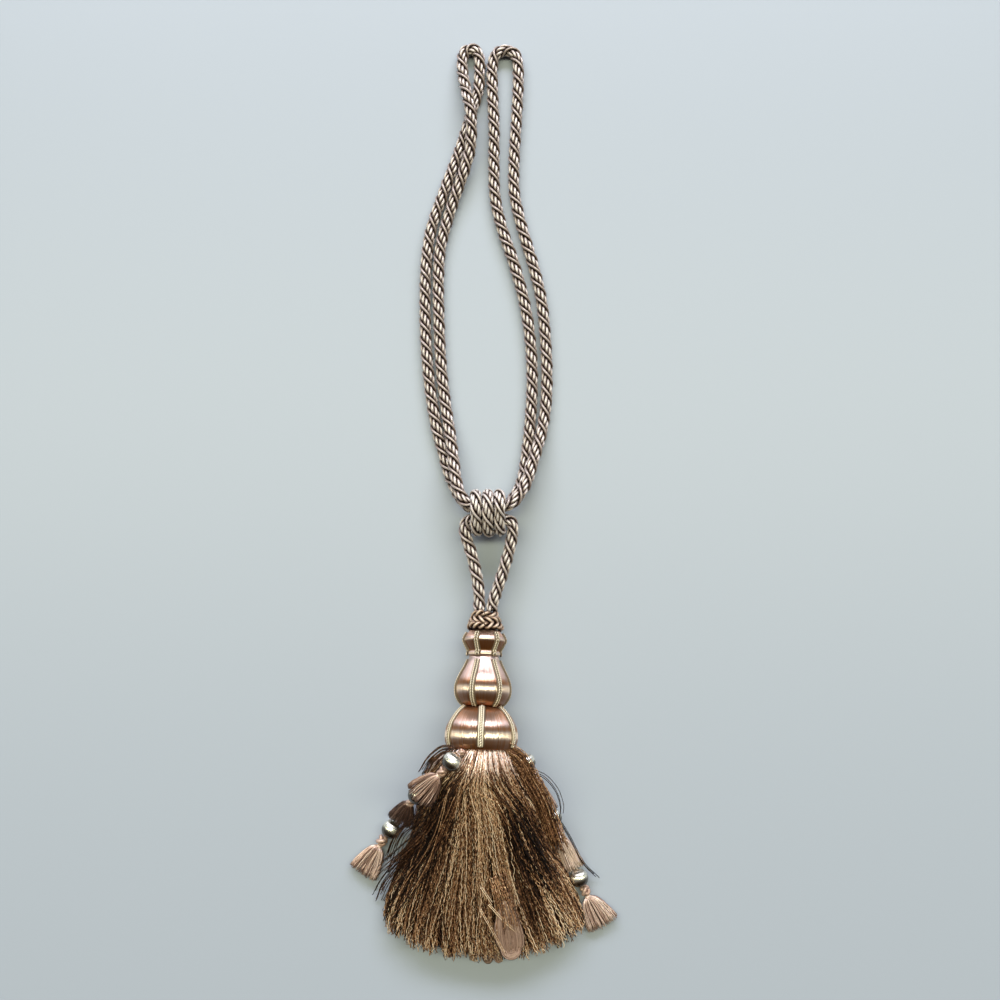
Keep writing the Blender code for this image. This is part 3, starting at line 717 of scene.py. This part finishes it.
def head_point(distance, radius, angle, sideways=0.0):
    """Points of the head: angle 0 is its top and 90 degrees its right, and sideways goes round it."""
    along, right, top = head_axes()
    distance, radius, angle, sideways = (
        np.asarray(value, float)[..., None] for value in (distance, radius, angle, sideways)
    )
    outwards = right * np.sin(angle) + top * np.cos(angle)
    around = right * np.cos(angle) - top * np.sin(angle)
    return HEAD_START + along * distance + outwards * radius + around * sideways


def plaited_collar():
    """Three rows of twisted cord round a plain core, leaning in turn one way and the other."""
    shape = Shape()
    along, right, _ = head_axes()
    # painted shade: the core has the darkest tone, and shows as shade between the cords
    shape.turned(HEAD_START, along, right, *COLLAR_CORE, COLLAR_CORE_SIDES, tone=0.0)
    turn = np.linspace(0, tau, COLLAR_STEPS + 1)[:-1]
    outwards = head_point(0.0, 1.0, turn) - HEAD_START
    for row, (distance, radius, turns) in enumerate(COLLAR_ROWS):
        hand = 1 if row % 2 == 0 else -1
        for ply in range(COLLAR_PLIES):
            phase = hand * turns * turn + tau * ply / COLLAR_PLIES + COLLAR_ROW_PHASE * row
            uneven = 0.0006 * np.sin(3 * turn + row) + 0.0003 * np.sin(7 * turn + 2 * ply)
            path = head_point(
                distance - COLLAR_PLY_REACH * COLLAR_PLY_OVAL * np.sin(phase) + uneven,
                radius + COLLAR_PLY_REACH * np.cos(phase) + uneven,
                turn,
            )
            # painted shade: each ply is darker where it turns in under the others
            tone = 0.50 + 0.42 * np.cos(phase)
            shape.cords(path, COLLAR_CORD_RADIUS, CORD_SIDES, outwards, tone, shade=1.0)
    shape.piece("collar_plait", "collar", "plaited_cord")


def smooth_outline(outline):
    places = np.linspace(0, len(outline) - 1, (len(outline) - 1) * OUTLINE_STEPS + 1)
    return through(metres(outline), places)


def head_parts():
    along, right, _ = head_axes()
    for part, outline, _, _ in HEAD_PARTS:
        curve = smooth_outline(outline)
        # painted highlight bands and painted shade along the head
        tone = np.interp(curve[:, 0], *zip(*metres(HEAD_PAINTED_BANDS)))
        shape = Shape()
        shape.turned(HEAD_START, along, right, curve[:, 0], curve[:, 1], HEAD_SIDES, tone)
        shape.piece(f"{part}_threads", f"head_{part}", "head_thread")


def gimp_strip(kind, curve, angle):
    """One strip of gimp along a part's outline, at one angle of the head."""
    twisted, ply, smooth, band = kind
    run = unit(np.gradient(curve[:, :2], axis=0))
    outwards = head_point(-run[:, 1], run[:, 0], angle) - HEAD_START

    def line(lift, sideways):
        distance = curve[:, 0] - run[:, 1] * lift
        return head_point(distance, curve[:, 1] + run[:, 0] * lift, angle, sideways)

    shape = Shape()
    for sideways in twisted:
        hand = -1 if sideways > 0 else 1
        for start in (0.0, pi):
            twist = np.arange(len(curve)) * GIMP_STEP / GIMP_TWIST * tau + start
            path = line(GIMP_CORD_LIFT + ply * np.sin(twist), sideways + hand * ply * np.cos(twist))
            # painted shade: each ply is darker where it turns down under the other
            tone = 0.50 + 0.50 * np.sin(twist)
            shape.cords(path, ply * GIMP_PLY_RADIUS, GIMP_SIDES, outwards, tone, shade=1.1)
    for sideways in smooth:
        path = line(GIMP_SMOOTH_LIFT, sideways)[::2]
        shape.cords(path, GIMP_SMOOTH_RADIUS, GIMP_SIDES, outwards[::2], tone=0.92, shade=1.0)
    for sideways in band:
        # painted shadow: a dark band under the cords
        shape.cords(line(GIMP_SHADOW_LIFT, sideways)[::3], GIMP_SHADOW_RADIUS, 4, outwards[::3], tone=0.16)
    return shape


def gimp():
    """Strips with two twisted cords on cap and vase, and with one between smooth cords on the dome.

    Each lies on a dark band that is a little wider, a painted shadow that shows between the cords and along
    their edges.
    """
    for part, outline, first, kind in HEAD_PARTS:
        shown = smooth_outline(outline)[GIMP_END_POINTS:-GIMP_END_POINTS]
        curve, _ = evenly(np.pad(shown, ((0, 0), (0, 1))), GIMP_STEP)
        for i in range(GIMP_COUNT):
            shape = gimp_strip(kind, curve, first + tau * i / GIMP_COUNT)
            shape.piece(f"{part}_gimp_{i + 1}", f"gimp_{part}_{i + 1}", "gimp")


# --- skirt

def skirt_point(turn, place, lift):
    """Points on the skirt, moved out by lift.

    turn is 0 at the skirt's right and pi at its left, and place is 0 at the dome and 1 at the cut ends.
    """
    rows = len(SKIRT_ROWS)
    row = np.clip(place * rows - 1, 0, rows - 1)
    columns = np.moveaxis(through(metres(SKIRT_ROWS), row), -1, 0)
    edge, middle, left, right, side, top, fullness, below = columns
    height = np.abs(np.sin(turn))
    x = (right + left) / 2 + (right - left) / 2 * np.cos(turn)
    y = edge + (middle - edge) * height
    rise = side + (top - side) * height**fullness
    fall = side * (1 - height) * below
    points = np.stack([x, y, np.where(np.sin(turn) >= 0, rise, fall)], axis=-1)
    start = head_point(SKIRT_START, SKIRT_START_RADIUS, pi / 2 - turn)
    share = np.clip(place * rows, 0, 1)[..., None]
    share = share * share * (3 - 2 * share)
    points = start * (1 - share) + points * share
    outwards = unit(np.stack([0.8 * np.cos(turn), 0 * turn, height + 0.1], axis=-1))
    return points + outwards * np.asarray(lift)[..., None]


# Where the yarn is lighter or darker, partly its own colour and partly painted light and shade: a painted
# lit column down the middle and painted shade in the hollows at the sides. Middle x and y, reach in x and
# y, and amount
SKIRT_ZONES = (
    (40, -100, 140, 400, 0.14), (-270, 40, 130, 220, -0.18), (-420, -260, 180, 280, -0.38),
    (-570, -520, 200, 280, -0.36), (580, -1040, 200, 200, 0.12), (-360, -850, 80, 260, -0.16),
    (240, -220, 110, 180, -0.28), (340, -420, 130, 220, -0.5), (440, -640, 120, 220, -0.34),
    (20, 300, 220, 120, 0.12), (360, -1000, 60, 200, -0.14), (-580, -880, 220, 240, -0.18),
    (500, -900, 200, 220, -0.08), (220, 280, 100, 100, 0.34), (0, -1240, 900, 160, 0.08),
)

# Layers of yarn: points along a strand, how near the skirt's middle the strands start as a share of where
# they end, the ranges of places where they start and end, radius, range of lift, crimp, and tone
# the under and inner layers' low tones are painted shade beneath the upper strands
UNDER_YARN = (24, (0.8, 1.1), ((0.0, 0.01), (0.88, 0.94)), 0.0007, (-0.0022, -0.001), 0.0004, 0.15)
UPPER_YARN = (63, (0.22, 1.1), ((0.0, 0.02), (0.9, 0.965)), 0.00032, (-0.0014, 0.0022), 0.0007, 0.54)
LOOSE_YARN = (40, (0.1, 0.65), ((0.0, 0.25), (0.55, 0.93)), 0.0004, (0.001, 0.003), 0.00015, 0.36)
INNER_YARN = (16, (1.0, 1.0), ((0.05, 0.08), (0.93, 0.98)), 0.0007, (0.0, 0.0004), 0.0003, 0.25)
UNDER_COUNT = 280
UPPER_COUNT = 970
INNER_COUNT = 150

SKIRT_LENGTH = 0.14
LOCK_COUNT = 13
LOCK_DEPTH = 0.022  # of the notches between locks, as a share of the skirt's length
SIDE_UNEVENNESS = 0.14  # how much shorter the strands at the skirt's sides may be, as the same share

# How the yarn's strands differ from each other
CRIMP_TURN = 2.6
CRIMP_TURN_SPREAD = 0.9
START_SPREAD = 0.15
START_DEPTH = 0.003  # how far in the strands start, behind the dome's edge
SWAY = 0.048  # how far a strand sways to both sides, as an angle round the skirt
GATHER = 0.8  # how closely the strands draw together into locks: at 1 their ends would meet
WANDER = 0.035  # how far the locks themselves lean, as an angle
LIFT_SPREAD = 0.0005
TONE_SPREAD = 0.36
END_TONE = 0.25  # how much lighter the cut ends are
YARN_RADII = (0.75, 1.2)
YARN_SIDES = 3
YARN_SHADE = 0.4
FLOOR_CLEARANCE = 1.2  # least height of a strand's middle, as a share of its radius

SIDE_COUNT = 90
SIDE_STEPS = 20
SIDE_RADIUS = 0.0005
SIDE_CRIMP = 0.0003
BUNDLE_STEPS = 30
PAST_TINT = 1.0  # a distance along the thread where the tint of its start has ended
CORE_SIDES = 96
CORE_ROWS = 44
CORE_END = 0.905
CORE_DEPTH = 0.0022
CORE_SHADE_TONE = 0.04

# Loose strands: the line they follow, how many, how far apart, their crimp, tone and radius in metres
STRAYS = (
    (((150, 330, 440), (270, 240, 385), (350, 100, 340), (430, -60, 290), (490, -240, 210),
      (550, -430, 150)), 90, 0.0055, 0.0004, 0.52, 0.0004),
    (((-210, 330, 500), (-290, 320, 460), (-370, 250, 430),
      (-420, 170, 400)), 16, 0.0026, 0.0001, 0.3, 0.0004),
    (((-300, -60, 430), (-430, -290, 330), (-570, -440, 240),
      (-740, -605, 140)), 15, 0.0042, 0.0001, 0.26, 0.00036),
    (((-360, -100, 380), (-500, -220, 300), (-620, -340, 200),
      (-705, -540, 100)), 13, 0.0038, 0.0001, 0.3, 0.00036),
    (((-420, -300, 320), (-600, -550, 200), (-720, -720, 110),
      (-775, -835, 60)), 17, 0.0048, 0.0001, 0.25, 0.00036),
    (((300, 230, 380), (380, 160, 360), (470, 110, 330), (550, 10, 280), (590, -110, 220),
      (590, -210, 160)), 3, 0.0012, 0.0, 0.14, 0.00033),
    (((480, -100, 260), (550, -190, 200), (650, -350, 140), (760, -560, 90),
      (870, -680, 50)), 3, 0.0008, 0.0, 0.14, 0.00033),
    (((100, -600, 320), (145, -720, 335), (185, -850, 318),
      (210, -970, 298)), 30, 0.006, 0.0004, 0.6, 0.0004),
    (((-10, -841, 320), (85, -1010, 300), (159, -1157, 258)), 2, 0.0006, 0.0, 1.1, 0.00028),
    (((52, -805, 330), (170, -930, 312), (301, -1057, 245)), 2, 0.0005, 0.0, 1.1, 0.00028),
    (((-3, -675, 352), (50, -750, 345), (97, -822, 330)), 2, 0.0005, 0.0, 1.1, 0.00028),
)


def zone_tone(points):
    """How much lighter or darker the skirt's yarn is at points: partly its own colour, partly painted light
    and shade.
    """
    tone = np.zeros(points.shape[:-1])
    for x, y, reach_x, reach_y, amount in metres(SKIRT_ZONES):
        tone += amount * np.exp(
            -((points[..., 0] - x) / reach_x) ** 2 - ((points[..., 1] - y) / reach_y) ** 2
        )
    return tone


def crimped(random, points, amount, radius):
    """The same paths with the yarn's crimp, which winds unevenly about their line, and above the floor."""
    k, steps, _ = points.shape
    turn = random.uniform(0, tau, (k, 1))
    turn = turn + np.cumsum(random.normal(CRIMP_TURN, CRIMP_TURN_SPREAD, (k, steps)), axis=1)
    reach = amount * random.uniform(0.5, 1.3, (k, 1)) * random.uniform(0.5, 1.2, (k, steps))
    across = unit(np.cross(unit(np.gradient(points, axis=1)), UP))
    moved = points + across * (reach * np.cos(turn))[..., None]
    moved[..., 2] = np.maximum(moved[..., 2] + reach * np.sin(turn), radius * FLOOR_CLEARANCE)
    return moved


def free_crimp(place):
    """How much of its crimp the yarn has: none where the dome holds it, and all a little further down."""
    return np.clip((place - 0.03) * 4, 0.0, 1.0)


def strand_ends(random, end, low, high):
    """The places where strands end, which make the notches between the skirt's locks."""
    last = random.uniform(low, high, end.shape) - LOCK_DEPTH * (1 - np.cos(LOCK_COUNT * 2 * end)) / 2
    return last - SIDE_UNEVENNESS * random.uniform(0, 1, end.shape) * np.cos(end) ** 4


def yarn(shape, random, count, ends, steps, spread, places, radius, lifts, crimp, tone):
    """One layer of strands from the dome down the skirt. ends is the range of turns that they reach."""
    column = (count, 1)
    share = np.linspace(0, 1, steps)[None, :] + random.uniform(-0.5, 0.5, column) / steps
    share = np.clip(share, 0, 1 + 0.5 / steps)
    end = random.uniform(*ends, column)
    start = pi / 2 + (end - pi / 2) * random.uniform(*spread, column)
    start = start + random.normal(0, START_SPREAD, column)
    first = random.uniform(*places[0], column)
    last = strand_ends(random, end, *places[1])
    place = first + (last - first) * share
    waves = share * random.uniform(0.4, 1.6, column) + random.uniform(0, 1, column)
    sway = SWAY * np.sin(tau * waves)
    gather = -GATHER / (LOCK_COUNT * 2) * np.sin(LOCK_COUNT * 2 * end) * share**2
    gather = gather - WANDER * np.sin(11 * end + 1.0) * share
    turn = start + (end - start) * share + sway * share + gather
    height = random.uniform(0, 1, column)
    lift = lifts[0] + (lifts[1] - lifts[0]) * height + random.normal(0, LIFT_SPREAD, column) * share
    lift = lift - START_DEPTH * np.clip(1 - share * 12, 0, 1)
    points = crimped(random, skirt_point(turn, place, lift), crimp * free_crimp(place), radius)
    # painted shade: strands that lie deeper are darker
    tones = tone + random.normal(0, TONE_SPREAD, column) + 0.40 * (height - 0.5) + zone_tone(points)
    tones = tones + END_TONE * np.clip(share * 20 - 19, 0, 1)
    radii = radius * random.uniform(*YARN_RADII, column)
    shape.cords(points, radii, YARN_SIDES, UP, tones, YARN_SHADE, begin=first * SKIRT_LENGTH)


def skirt():
    random = np.random.default_rng(7)
    parts = (("right", -0.05, 1.15), ("middle", 1.15, 2.0), ("left", 2.0, pi + 0.05))
    for name, *ends in parts:
        shape = Shape()
        share = (ends[1] - ends[0]) / pi
        yarn(shape, random, round(UNDER_COUNT * share), ends, *UNDER_YARN)
        yarn(shape, random, round(UPPER_COUNT * share), ends, *UPPER_YARN)
        shape.piece(f"skirt_{name}", "skirt", "yarn")
    loose_yarn(random)
    shape = Shape()
    yarn(shape, random, INNER_COUNT, (pi, tau), *INNER_YARN)
    core_points(shape)
    shape.piece("skirt_inside", "skirt", "yarn")
    shape = Shape()
    for turn in (0.0, pi):
        side_yarn(shape, random, turn)
    shape.piece("skirt_sides", "skirt", "yarn")


def loose_yarn(random):
    """Strands that lie apart at both sides of the skirt, and the strays."""
    shape = Shape()
    for count, *ends in ((135, 2.50, 3.28), (85, -0.14, 0.55)):
        yarn(shape, random, count, ends, *LOOSE_YARN)
    random_strays = np.random.default_rng(3)
    for guide, *rest in STRAYS:
        bundle(shape, random_strays, metres(guide), *rest)
    shape.piece("skirt_loose", "skirt", "yarn")


def side_yarn(shape, random, turn):
    """Strands down one upright side of the skirt, between its top and the floor."""
    column = (SIDE_COUNT, 1)
    first = random.uniform(0.0, 0.04, column)
    last = random.uniform(0.55, 0.88, column)
    share = np.linspace(0, 1, SIDE_STEPS)[None, :]
    place = first + (last - first) * share
    height = random.uniform(0.0, 1.0, column) + random.normal(0, 0.04, column) * share
    height = np.clip(height, 0.0, 1.0)
    way = 1.0 if turn < 1.0 else -1.0
    under = 0.01 + 0.9 * np.clip(1 - place / 0.22, 0, 1)
    upper = skirt_point(turn + 0.01 * way + 0 * place, place, 0 * place)
    lower = skirt_point(turn - under * way, place, 0 * place)
    points = lower + (upper - lower) * height[..., None]
    points[..., 0] += way * (0.0006 + 0.0014 * np.sin(pi * height) * np.clip(place * 8, 0, 1))
    points = crimped(random, points, SIDE_CRIMP * free_crimp(place), SIDE_RADIUS)
    # painted shade: strands lower down the side are darker
    tones = 0.34 + random.normal(0, 0.20, column) + 0.15 * (height - 0.5)
    radii = SIDE_RADIUS * random.uniform(*YARN_RADII, column)
    shape.cords(points, radii, YARN_SIDES, (way, 0, 0.3), tones, shade=0.3, begin=first * SKIRT_LENGTH)


def bundle(shape, random, guide, count, spread, crimp, tone, radius):
    """Loose strands that follow a line together."""
    column = (count, 1)
    share = np.linspace(0, 1, BUNDLE_STEPS)
    line = through(guide, share * (len(guide) - 1))
    along = unit(np.gradient(line, axis=0))
    across = unit(np.cross(along, UP))
    first = np.linspace(-1, 1, count)[:, None] + random.normal(0, 0.15, column)
    last = first + random.normal(0, 0.5, column)
    height = random.uniform(-0.4, 0.4, column) * spread
    points = line + across * ((first + (last - first) * share) * spread)[..., None]
    points[..., 2] += height
    points = points + along * (random.normal(0, 0.10, column) * share)[..., None] * 0.04
    points = crimped(random, points, crimp, radius)
    tones = tone + random.normal(0, 0.12, column)
    shape.cords(points, radius, YARN_SIDES, UP, tones, shade=0.3, begin=PAST_TINT)


def core_points(shape):
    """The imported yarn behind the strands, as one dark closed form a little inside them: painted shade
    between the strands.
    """
    turn = np.linspace(0, tau, CORE_SIDES + 1)[:-1]
    turns, places = np.meshgrid(turn, np.linspace(0.0, CORE_END, CORE_ROWS))
    places = places * (1 - 0.06 * np.cos(turns) ** 4)
    lift = np.where(np.sin(turns) >= 0, -CORE_DEPTH, 0.0)
    points = skirt_point(turns, places, lift)
    points[..., 2] = np.maximum(points[..., 2], 0.0008)
    number = np.arange(turns.size).reshape(turns.shape)
    sides = side_faces(number)[:, (0, 3, 2, 1)]
    shape.add(points, places * 0.15, turns / tau, CORE_SHADE_TONE, sides, number[:1], number[-1:, ::-1])


HANK_LINE = (
    (180, -780, 313), (186, -880, 296), (194, -970, 275), (204, -1050, 250), (213, -1120, 227),
    (218, -1160, 211),
)
HANK_HALF_WIDTHS = (22, 70, 98, 108, 102, 78)
LOOP_RADIUS = 0.00034
LOOP_STEP = 0.0024
LOOP_BEND_POINTS = 13
LOOPED_END_WIDTHS = np.array((0.5, 0.8, 1.0, 0.9))

# Small uncut ends that show at the skirt's lower edge: where each starts and ends, and its half width
LOOPED_ENDS = (
    ((30, -1120, 170), (45, -1266, 125), 38), ((110, -1120, 170), (125, -1258, 130), 34),
    ((-220, -1080, 150), (-245, -1225, 110), 36), ((-420, -1020, 110), (-465, -1135, 80), 34),
)


def loops(shape, random, line, widths, reach, rings, tone):
    """Loops of yarn, one inside the other, along a line to a round end."""
    steps = max(24, round(length_of(line) / 0.0004))
    turn = np.linspace(0, pi, LOOP_BEND_POINTS)
    for ring in range(rings):
        inside = 1 - ring / rings
        half = widths * inside
        for layer in (-1, 1):
            bend = np.tile(line[-1], (LOOP_BEND_POINTS, 1))
            bend[:, 0] += half[-1] * np.cos(turn)
            bend[:, 1] -= reach * inside * np.sin(turn)
            sideways = np.pad(half[:, None], ((0, 0), (0, 2)))
            path = np.concatenate([(line + sideways)[:-1], bend, (line - sideways)[-2::-1]])
            path, _ = evenly(through(path, np.linspace(0, len(path) - 1, steps)), LOOP_STEP)
            path[:, 2] += 0.0005 * layer + 0.0009 * (1 - inside**2) + random.normal(0, 0.00012, len(path))
            path[:, 0] += random.normal(0, 0.00008, len(path))
            # painted shade: the outermost loop is darker, along the edge
            outer = 0.35 if ring == 0 else 0.0
            shape.cords(path, LOOP_RADIUS, 4, UP, tone + random.normal(0, 0.13) - outer, shade=0.5)


def hank():
    """The uncut hank, and small uncut ends beside it under the skirt's strands."""
    random = np.random.default_rng(11)
    shape = Shape()
    widths = np.array(metres(HANK_HALF_WIDTHS))
    loops(shape, random, np.array(metres(HANK_LINE)), widths, reach=0.0076, rings=28, tone=0.55)
    shape.piece("hank_loops", "uncut_hank", "hank_yarn")
    shape = Shape()
    for first, last, half in metres(LOOPED_ENDS):
        line = np.linspace(first, last, len(LOOPED_END_WIDTHS))
        loops(shape, random, line, LOOPED_END_WIDTHS * half, reach=0.003, rings=8, tone=0.45)
    shape.piece("skirt_looped_ends", "skirt", "hank_yarn")


# --- chains at the sides

BEAD_PAINTED_BANDS = (  # angle from one end of the bead, and the tone there: painted bands of highlight and shade
    (0.0, 0.4), (0.55, 0.8), (0.82, 0.2), (1.05, 0.95), (1.55, 1.0), (1.8, 0.12), (2.4, 0.0), (3.0, 0.3),
)
BEAD_HOLE = 0.12  # angle from a bead's end to where its winding starts
BEAD_ROWS = 33
BEAD_SIDES = 72
KNOT_STEPS = 120
KNOT_CORD = 0.36  # radius of a knot's cord, as a share of the knot's
CHAINS = {  # where each chain starts and ends, roughly, and which knots it has
    "left": ((-0.012, 0.040, 0.050), (-0.080, -0.050, 0.004), ("top", "upper", "middle", "lower")),
    "right": ((0.030, 0.035, 0.030), (0.080, -0.085, 0.004), ("upper", "middle", "lower")),
}


def middle_of(name):
    """The middle of a CAD node's box, and half its height."""
    low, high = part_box(name)
    return np.array((low + high) / 2), (high.z - low.z) / 2


def direction_frame(axis):
    """A direction, and the level one square to it."""
    axis = unit(np.asarray(axis, float))
    return axis, unit(np.cross(UP, axis))


def bead(name, axis):
    """A ball wound with thread, with painted bands of highlight and shade, and its ends level with each
    other.
    """
    centre, radius = middle_of(name)
    axis, right = direction_frame((axis[0], axis[1], 0.0))
    shape = Shape()
    turn = np.linspace(BEAD_HOLE, pi - BEAD_HOLE, BEAD_ROWS)
    tone = np.interp(turn, *zip(*BEAD_PAINTED_BANDS))
    shape.turned(centre, axis, right, -np.cos(turn) * radius, np.sin(turn) * radius, BEAD_SIDES, tone)
    shape.piece(f"{name}_thread", name, "bead_thread")


def knot(name, axis):
    """A small round knot of rose cord: turns that cross over each other."""
    centre, radius = middle_of(name)
    axis, right = direction_frame(axis)
    top = np.cross(axis, right)
    shape = Shape()
    turn = np.linspace(0, tau, KNOT_STEPS + 1)[:-1]
    cord = radius * KNOT_CORD
    spread = (radius - cord) * (0.72 + 0.28 * np.cos(3 * turn))
    path = (
        centre
        + spread[:, None] * turning(2 * turn, right, top)
        + (radius - cord) * 0.8 * np.sin(3 * turn)[:, None] * axis
    )
    shape.cords(path, cord, 10, unit(path - centre), tone=0.72, shade=0.4)
    shape.piece(f"{name}_cord", name, "rose_thread")


def small_tassel(name, random, neck, tip, half_width, half_thickness, crown, tone):
    """A bound neck and a flat fan of fine threads. crown is how much further its middle reaches."""
    neck = np.array(neck)
    fall = np.array(tip) - neck
    along, right = direction_frame(fall)
    across = -right
    upwards = np.cross(across, along)
    count = TASSEL_COUNT
    share = np.linspace(0, 1, TASSEL_STEPS)
    spread = np.interp(share, *zip(*TASSEL_SPREAD))
    a = np.sin(random.uniform(-1, 1, count) * pi / 2)[:, None]
    b = random.uniform(-1, 1, count)[:, None] * np.sqrt(1 - a**2)
    wide = TASSEL_NECK + (half_width - TASSEL_NECK) * spread
    thick = TASSEL_NECK + (half_thickness - TASSEL_NECK) * spread
    reach = random.normal(1.0, 0.03, count)
    path = (
        neck
        + share[:, None] * fall * reach[:, None, None]
        + across * (a * wide)[..., None]
        + upwards * (b * thick)[..., None]
        + along * (crown * share * (1 - a**2))[..., None]
    )
    path = path + random.normal(0, 0.00022, path.shape) * share[:, None]
    path[..., 2] = np.maximum(path[..., 2], 0.0005)
    # painted light: threads on the fan's upper face are lighter
    tones = tone + random.normal(0, 0.22, (count, 1)) + 0.16 * b
    shape = Shape()
    shape.cords(path, TASSEL_THREAD_RADIUS, YARN_SIDES, upwards, tones, YARN_SHADE)
    band = np.linspace(-1, 1, 13)  # three turns of thread round the neck
    bulges = TASSEL_NECK + 0.0002 + 0.0002 * np.cos(band * pi * 3)
    shape.turned(neck, along, right, band * 0.0011 + 0.0004, bulges, TASSEL_BINDING_SIDES, tone=1.4)
    shape.piece(f"{name}_threads", name, "rose_thread")


def chains():
    random = np.random.default_rng(5)
    for side, (first, last, knots) in CHAINS.items():
        axis = np.array(last) - np.array(first)
        for place in ("upper", "middle", "lower"):
            bead(f"bead_{side}_{place}", axis)
        for place in knots:
            knot(f"knot_{side}_{place}", axis)
    for name, values in SMALL_TASSELS.items():
        small_tassel(f"small_tassel_{name}", random, *metres(values))


# --- floor and light

def floor():
    mesh = bpy.data.meshes.new("floor")
    corners = ((-1, -1), (1, -1), (1, 1), (-1, 1))
    mesh.from_pydata([(x * FLOOR_REACH, y * FLOOR_REACH, 0) for x, y in corners], [], [(0, 1, 2, 3)])
    made = new_object("floor", mesh)
    material = bpy.data.materials.new("floor")
    material.use_nodes = True
    tree = material.node_tree
    plug(tree, tree.nodes["Principled BSDF"], {"Base Color": (*FLOOR_COLOUR, 1.0), "Roughness": 0.45})
    mesh.materials.append(material)


def panel(name, lean, reach, side, radiance, colour):
    """A soft panel of light high towards +Y that faces the object.

    As angles seen from the object, lean is from the vertical to its middle, reach is its whole height and
    side is half its width.
    """
    width = 2 * PANEL_DISTANCE * math.tan(radians(side))
    height = 2 * PANEL_DISTANCE * math.tan(radians(reach / 2))
    data = bpy.data.lights.new(name, "AREA")
    data.shape = "RECTANGLE"
    data.size = width
    data.size_y = height
    data.energy = pi * width * height * radiance
    data.color = colour
    made = new_object(name, data)
    away = Vector((0.0, math.sin(radians(lean)), math.cos(radians(lean))))
    made.location = Vector(PANEL_TARGET) + away * PANEL_DISTANCE
    made.rotation_euler = away.to_track_quat("Z", "Y").to_euler()


def room():
    """Soft light from all round, dimmer on the side where the photographer stands."""
    world = bpy.data.worlds.new("world")
    bpy.context.scene.world = world
    world.use_nodes = True
    tree = world.node_tree
    way = node(tree, "ShaderNodeTexCoord").outputs["Generated"]
    parts = node(tree, "ShaderNodeSeparateXYZ", {0: way}).outputs
    across = maths(tree, "POWER", maths(tree, "ABSOLUTE", parts["X"], 0.0), 2.0)
    forwards = maths(tree, "ADD", maths(tree, "MULTIPLY", parts["Y"], 0.5), 0.5)
    place = maths(tree, "ADD", forwards, maths(tree, "MULTIPLY", across, ROOM_SIDE_SHARE))
    plug(tree, tree.nodes["Background"], {"Color": ramp(tree, place, ROOM_STOPS)})


def lights():
    panel("window", 56, 15, 34, 12.5, (0.96, 0.97, 1.06))
    panel("lamp", 12, 12, 50, 8.4, (0.99, 0.99, 0.67))
    room()
    bpy.context.scene.view_settings.view_transform = "Standard"


camera()
ropes()
plaited_collar()
head_parts()
gimp()
skirt()
hank()
chains()
floor()
lights()
